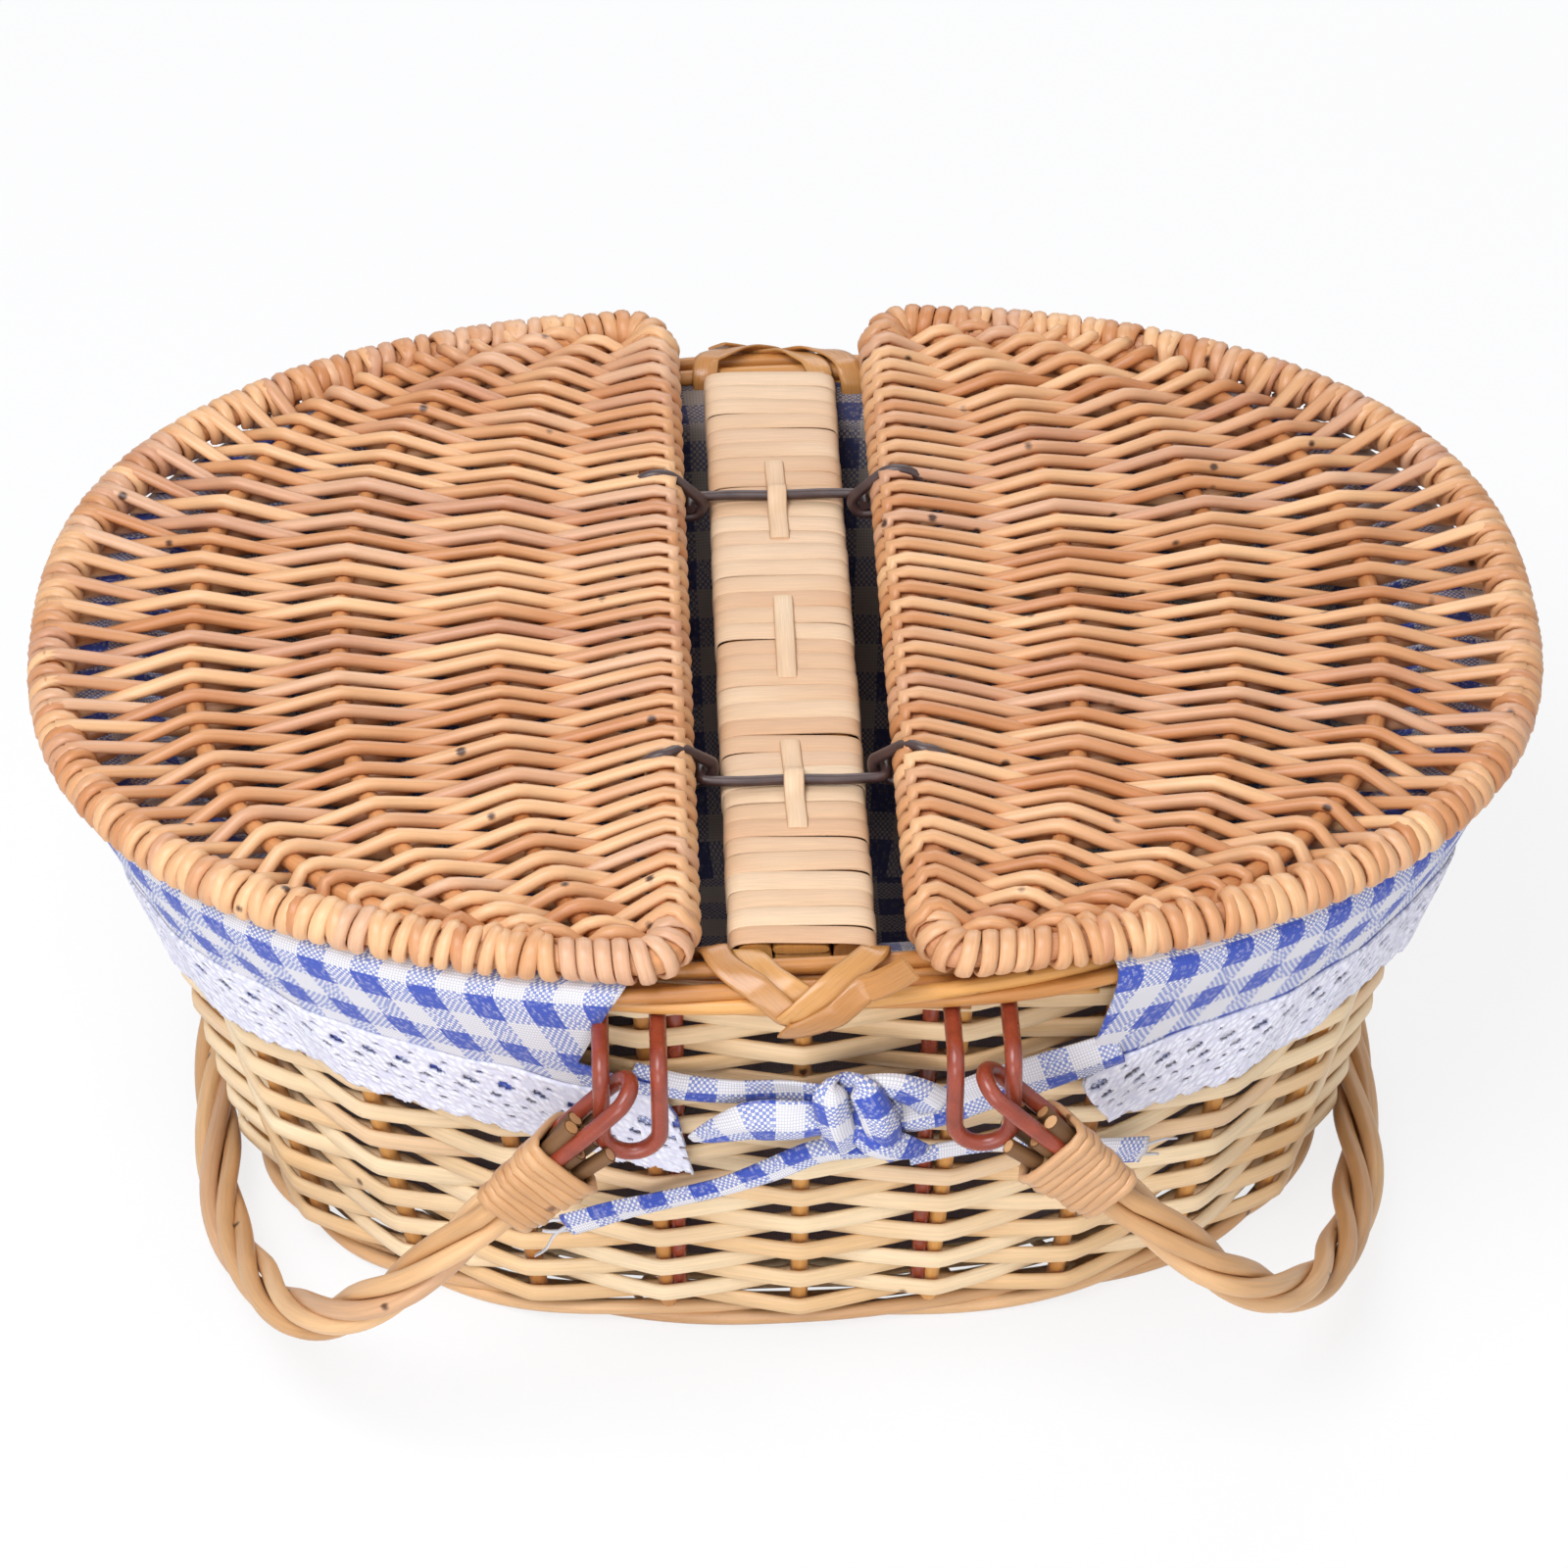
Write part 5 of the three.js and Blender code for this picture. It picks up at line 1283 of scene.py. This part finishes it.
# %% [markdown]
# ## Liner bag
# The bag hangs inside the tub. Its floor is flat, and its top edge is tucked up under the rim. Its wall
# follows the weave, and a few soft folds keep it from looking like a shell. Its inside is the check darkened
# as painted shade, for the gloom inside the closed basket. The wrong side, which shows through the weave,
# is darker still, a nearly plain check of painted shade for the shade behind the weave. A simulation would
# pull the bag against the stakes. The folds are a sum of waves instead, because the bag is taut and shows
# only through the gaps and when a lid is open.

# %% Liner
AROUND = 220
BAG_HEIGHT = 80
BAG_OUT = -18
FLOOR_Z = 7.2
FLOOR_INSET = 25
FLOOR_ROWS = 12
WALL_Z = np.linspace(15, 144.5, 24)
# The top edge as out and height, from the wall to under the rim.
LINER_TUCK = ((-18.2, 146.4), (-15.6, 148.0), (-12.0, 149.2), (-9.5, 150.4), (-7.2, 151.4))
bag_turn = even_turn(BAG_HEIGHT, BAG_OUT, AROUND, -math.pi / 2, 1.5 * math.pi)
girth = lengths(on_tub(np.append(bag_turn, bag_turn[0]), BAG_HEIGHT, BAG_OUT))
round_bag = girth[:-1] / girth[-1] * FULL_TURN
folds = np.sin(round_bag * 19) + 0.6 * np.sin(round_bag * 31)
bag = []
for share in np.linspace(0.04, 1, FLOOR_ROWS):
    x, y = oval((BASE_HALF[0] - FLOOR_INSET) * share, (BASE_HALF[1] - FLOOR_INSET) * share, bag_turn)
    bag.append(np.column_stack((x, y, np.full(AROUND, FLOOR_Z))))
for z in WALL_Z:
    slack = math.sin(math.pi * (z - 10) / 140)
    bag.append(on_tub(bag_turn, z, -18.6 - 0.7 * slack * (1 + folds * 0.5)))
bag += [on_tub(bag_turn, z, out) for out, z in LINER_TUCK]
bag = np.array(bag)
bag_uv = np.zeros((len(bag), AROUND + 1, 2))
bag_uv[..., 0] = girth
bag_uv[:FLOOR_ROWS, :, 1] = np.linspace(-60, 0, FLOOR_ROWS)[:, None]
bag_uv[FLOOR_ROWS:, :, 1] = np.linspace(8, 138, len(bag) - FLOOR_ROWS)[:, None]
# The bag's inside takes the check darkened as painted shade.
liner = sheet("liner", bag[::-1], bag_uv[::-1], PAINTED_SHADE_CHECK, CLOTH_THICK, closed=True)
# On the floor the check lies straight, so it is taken from x and y.
for polygon in liner.data.polygons:
    if polygon.center.z < (FLOOR_Z + 0.1) * MM:
        for loop in polygon.loop_indices:
            spot = liner.data.vertices[liner.data.loops[loop].vertex_index].co
            liner.data.uv_layers["cloth"].data[loop].uv = (spot.x, spot.y)
# The wrong side, which shows through the weave, takes the dark finish of painted shade.
liner.data.materials.append(PAINTED_SHADE_WRONG_SIDE)
liner.modifiers["thickness"].material_offset = 1
dress(liner, "basket", "gingham", "liner_bag")

# %% [markdown]
# ## Cuffs and lace
# Beside the bar the liner is slit, turned over the rim and left to hang outside as two cuffs, each edged
# with crocheted lace. A simulation could drape them, but the edges would not end where they should. So a
# cuff is a profile carried round the tub between two slanting edges, with folds that grow towards the lower
# edge. The lace hangs from it and follows the same folds.

# %% Shape of a cuff
# Profiles have out and height.
CUFF_PROFILE = np.array([(-18.6, 145.2), (-18.4, 150), (-13, 155), (-6, 156.3), (2, 156.4), (6.5, 155.6),
                         (8.6, 152.5), (8.8, 147), (7.2, 138), (5.2, 127), (3.6, 116), (2.6, 108)])
LACE_PROFILE = np.array([(5.7, 124.2), (4.9, 116), (3.8, 107), (2.6, 95)])
# Edges have height and x, the front one first.
CUFF_REAR = ((156, 56), (116, 47), (98, 46))
CUFF_EDGES = {"left": (((156, 43), (147, 48), (133, 56), (131.5, 50), (127, 37), (118, 32), (95, 28)),
                       CUFF_REAR),
              "right": (((156, 75), (116, 71), (98, 80)), CUFF_REAR)}
# How far the lower edge sags at the front and at the rear end.
SAG = {"left": (21, 13), "right": (13, 18)}
SAG_REACH = 120
# Length and size of the waves that make the folds.
FOLD_WAVES = ((61, 0.9), (37, 0.7), (23, 0.45))
# Where the check begins, and how it slants below the rim.
PATTERN_START = {"left": 7.3, "right": 3.5}
PATTERN_BEND = 147.0
PATTERN_SLANT = -0.05


def fold(along, seed):
    """Outward swing of the cloth at each place along a cuff, from a few long waves."""
    draw = np.random.default_rng(seed)
    return sum(size * np.sin(FULL_TURN * along / length + draw.uniform(0, 6.28))
               for length, size in FOLD_WAVES)


def edge_angles(edges, z):
    """The angles on the tub where the front and the rear edge lie at one height."""
    for edge, rear in zip(edges, (-1, 1)):
        heights, x = np.array(edge).T
        yield angle_at(np.interp(-z, -heights, x), z, rear)


def hanging(profile, name, side, step):
    """A grid of cloth round one end of the tub, with step between its columns, and its flat coordinates."""
    edges = CUFF_EDGES[name]
    front_sag, rear_sag = SAG[name]
    grid, uv = [], []
    top_out, top_z = profile[0]
    top_row = on_tub(np.linspace(*edge_angles(edges, top_z), 400), top_z, top_out)
    count = int(lengths(top_row)[-1] / step)
    for (out, z), down in zip(profile, lengths(profile)):
        turn = even_turn(z, out, count, *edge_angles(edges, z))
        along = lengths(on_tub(turn, z, out))
        ends = (front_sag * np.clip(1 - along / SAG_REACH, 0, 1) ** 2
                + rear_sag * np.clip(1 - (along[-1] - along) / SAG_REACH, 0, 1) ** 2)
        row = on_tub(turn, z - ends * np.clip((150 - z) / 38, 0, 1), out)
        along = along - np.interp(0, turn, along)
        swing = fold(along, 90 + side) * np.interp(z, (98, 120, 150), (1.0, 0.7, 0.0))
        grid.append(row + outward(row) * swing[:, None])
        slant = PATTERN_SLANT * max(0, PATTERN_BEND - z)
        uv.append(np.column_stack((along + slant, np.full(count, down))))
    grid, uv = np.array(grid), np.array(uv)
    grid[..., 0] *= side
    if side < 0:
        grid, uv = grid[:, ::-1], uv[:, ::-1]
    return grid, uv


# %% Cuffs and lace
CUFF_STEPS = (2.5, 2.6)
LACE_STEP = 0.75
LACE_THICK = 0.9
# The lower edge of the lace: its distance from the upper one, and its scallops.
LACE_DROP = 26.4
SCALLOP = 1.9
SCALLOP_PITCH = 7.0
# Rows of eyelets: distance from the upper edge, pitch, shift by a share of it, half width and half height.
EYELETS = ((4.0, 9.0, 0.5, 1.2, 0.8), (7.8, 9.0, 0.0, 2.3, 1.6), (11.6, 9.0, 0.5, 1.6, 1.1),
           (16.0, 4.5, 0.25, 1.0, 0.8), (20.5, 9.0, 0.5, 1.1, 0.8))
for name, side in (("left", -1), ("right", 1)):
    grid, uv = hanging(smooth(CUFF_PROFILE, CUFF_STEPS[0]), name, side, CUFF_STEPS[1])
    cuff = sheet(f"{name}_cuff", grid, uv - (0, PATTERN_START[name]), GINGHAM, CLOTH_THICK)
    dress(cuff, "basket", "gingham", f"cuff_{name}")

    grid, uv = hanging(smooth(LACE_PROFILE, LACE_STEP), name, side, LACE_STEP)
    along, down = np.moveaxis((uv[:-1, :-1] + uv[1:, 1:]) / 2, -1, 0)
    keep = down < LACE_DROP + SCALLOP * np.abs(np.sin(along * math.pi / SCALLOP_PITCH))
    for level, pitch, shift, wide, tall in EYELETS:
        apart = (along / pitch + shift + 0.5) % 1 - 0.5
        keep &= (apart * pitch / wide) ** 2 + ((down - level) / tall) ** 2 > 1
    lace = sheet(f"{name}_lace", grid, uv, LACE, LACE_THICK, keep=keep)
    dress(lace, "basket", "lace", f"lace_{name}")

# %% [markdown]
# ## Ties
# Strips of the same cotton hold the cuffs together across the front and the rear. Each is knotted a little
# off the middle, with a short folded wing on one side and long tails that hang in front of the weave. A few
# white threads have frayed out of the tails' ends. A simulated knot would not tighten to the one in view.
# So every strip is a ribbon along listed points, curled across its width, and the knot is one more
# strip wound round them.

# %% Shape of a tie
# Each ribbon has a curl, and rows of x, out, height and width.
RIBBONS = (
    (0.08, ((-43, 3, 117.5, 8), (-30, 3.6, 113, 8), (-16.5, 4, 111.5, 7.5), (-5, 5, 113, 7.5),
            (4, 7, 113.5, 7))),
    (0.12, ((7, 10, 107, 11), (-2, 11.5, 107.5, 13.5), (-11.5, 11.5, 107.5, 13), (-18, 10.5, 104, 10),
            (-24.5, 9, 99, 5.5), (-27.5, 8, 96.5, 2))),
    (0.15, ((16, 9, 92, 6), (4, 8.5, 91, 7.5), (-8, 7, 82, 7.5), (-20.5, 6, 73.5, 6.5), (-36, 5, 65.5, 6),
            (-47, 4.5, 60, 6.5), (-60, 4, 51.5, 7.5))),
    (0.1, ((17, 8, 104, 9), (26, 8, 105, 13.5), (35, 7, 106.5, 13), (44.5, 6, 110, 12.5), (56, 5.5, 113, 12),
           (68, 6, 117, 12), (78, 6, 120, 12))),
    (0.12, ((26, 8.5, 87, 5), (36, 7.5, 88, 5), (49, 6, 87, 6), (61, 5, 82, 7), (74, 4.5, 76, 7.5),
            (88, 4, 70, 8))),
    (0.2, ((9, 8, 118, 6), (19, 10, 120, 7), (26, 10, 116.5, 9), (32, 8.5, 109, 11))),
    (0.25, ((12, 10.5, 104, 6), (17.6, 12.8, 99, 10), (24.3, 12, 94.5, 9), (29.5, 10, 91.5, 4))),
    (0.28, ((10, 4, 115, 5), (11, 7, 121, 6.5), (13.5, 11.5, 121, 7.5), (16.5, 13.5, 113, 8.5),
            (18.6, 13.5, 104, 9), (21.5, 10, 89.5, 6), (22, 6, 89, 5))),
    (0.3, ((9, 4, 115, 5), (7.2, 7.5, 121, 7), (5.8, 12, 119, 8.5), (7.2, 13, 108, 9), (10, 10.5, 95, 7.5),
           (11, 6, 93.5, 6))),
)
# Frayed threads have the same kind of rows.
FRAYS = (
    ((-59, 4.2, 52, 0.6), (-63, 4.8, 47, 0.5), (-65, 5.5, 41, 0.4), (-68, 5.5, 37, 0.4)),
    ((-59, 4.2, 53.5, 0.6), (-64, 4.6, 53, 0.5), (-67, 5, 50, 0.4)),
    ((-59, 4.2, 49.5, 0.6), (-63.5, 4.6, 48, 0.5), (-66, 5, 48.5, 0.4)),
    ((87, 4.2, 71.5, 0.6), (92, 4.8, 73, 0.5), (96, 5, 72, 0.4)),
    ((87, 4.2, 68.5, 0.6), (91.5, 4.8, 67, 0.5)),
)
ACROSS = 9
RIBBON_SEED = 100
FRAY_SEED = 9
KNOT_X, KNOT_Z = 14.0, 106.0
KNOT_OUT = 7.5
# Half the knot's width, depth and height.
KNOT_HALF = (9.0, 5.2, 11.0)
KNOT_LEAN = 1.6


def ribbon(rows, curl, seed):
    """A strip along rows of x, out, height and width, curled and rippled across."""
    line = smooth(rows, 1.6)
    place = on_tub(angle_at(line[:, 0], line[:, 2], -1), line[:, 2], line[:, 1])
    run = np.gradient(place, axis=0)
    run /= np.linalg.norm(run, axis=1, keepdims=True)
    face = outward(place)
    across = np.cross(face, run)
    share = np.linspace(-1, 1, ACROSS)
    wave = np.random.default_rng(seed).uniform(0, 6.28, 2)
    along = lengths(place)[:, None]
    ripple = np.sin(4.2 * share + wave[0] + along / 9)
    lift = line[:, 3:] * (curl * (1 - share ** 2) + 0.05 * ripple)
    aside = share * line[:, 3:] / 2
    points = place[:, None] + across[:, None] * aside[..., None] + face[:, None] * lift[..., None]
    return points, np.stack(np.broadcast_arrays(along, aside + wave[1] * 6), -1)


def knot():
    """The strip round the middle of the tie: a short barrel with ripples."""
    angle = np.linspace(0, FULL_TURN, 41)[:, None]
    share = np.linspace(-1, 1, ACROSS)
    swell = 1 - 0.28 * share ** 2 + 0.07 * np.sin(7 * share + 2 * angle)
    centre = on_tub(angle_at(KNOT_X, KNOT_Z, -1), KNOT_Z, KNOT_OUT)
    x = centre[0] + KNOT_HALF[0] * share + KNOT_LEAN * np.sin(angle)
    y = centre[1] - KNOT_HALF[1] * swell * np.cos(angle)
    z = centre[2] + KNOT_HALF[2] * swell * np.sin(angle)
    points = np.stack(np.broadcast_arrays(x, y, z), -1)
    return points, np.stack(np.broadcast_arrays(angle * 8.5, share * 9 + 3), -1)


# %% Ties
# A frayed thread takes its colour from the middle of a white square.
WHITE_SQUARE = 0.75 * CHECK_MM
tie_strips = [ribbon(rows, curl, RIBBON_SEED + i) for i, (curl, rows) in enumerate(RIBBONS)]
tie_strips.append(knot())
for rows in FRAYS:
    points, uv = ribbon(rows, 0.0, FRAY_SEED)
    tie_strips.append((points, np.full_like(uv, WHITE_SQUARE)))
tie_points, tie_uv = (np.vstack(grids) for grids in zip(*tie_strips))
# The strips lie one after another in one grid, so the faces between them are left out.
keep = np.ones((len(tie_points) - 1, ACROSS - 1), bool)
keep[np.cumsum([len(points) for points, _ in tie_strips])[:-1] - 1] = False
for name, turned in (("front", 1), ("rear", -1)):
    tie = sheet(f"{name}_tie", tie_points * (turned, turned, 1), tie_uv, GINGHAM, CLOTH_THICK, keep=keep)
    dress(tie, "basket", "gingham", f"tie_{name}")
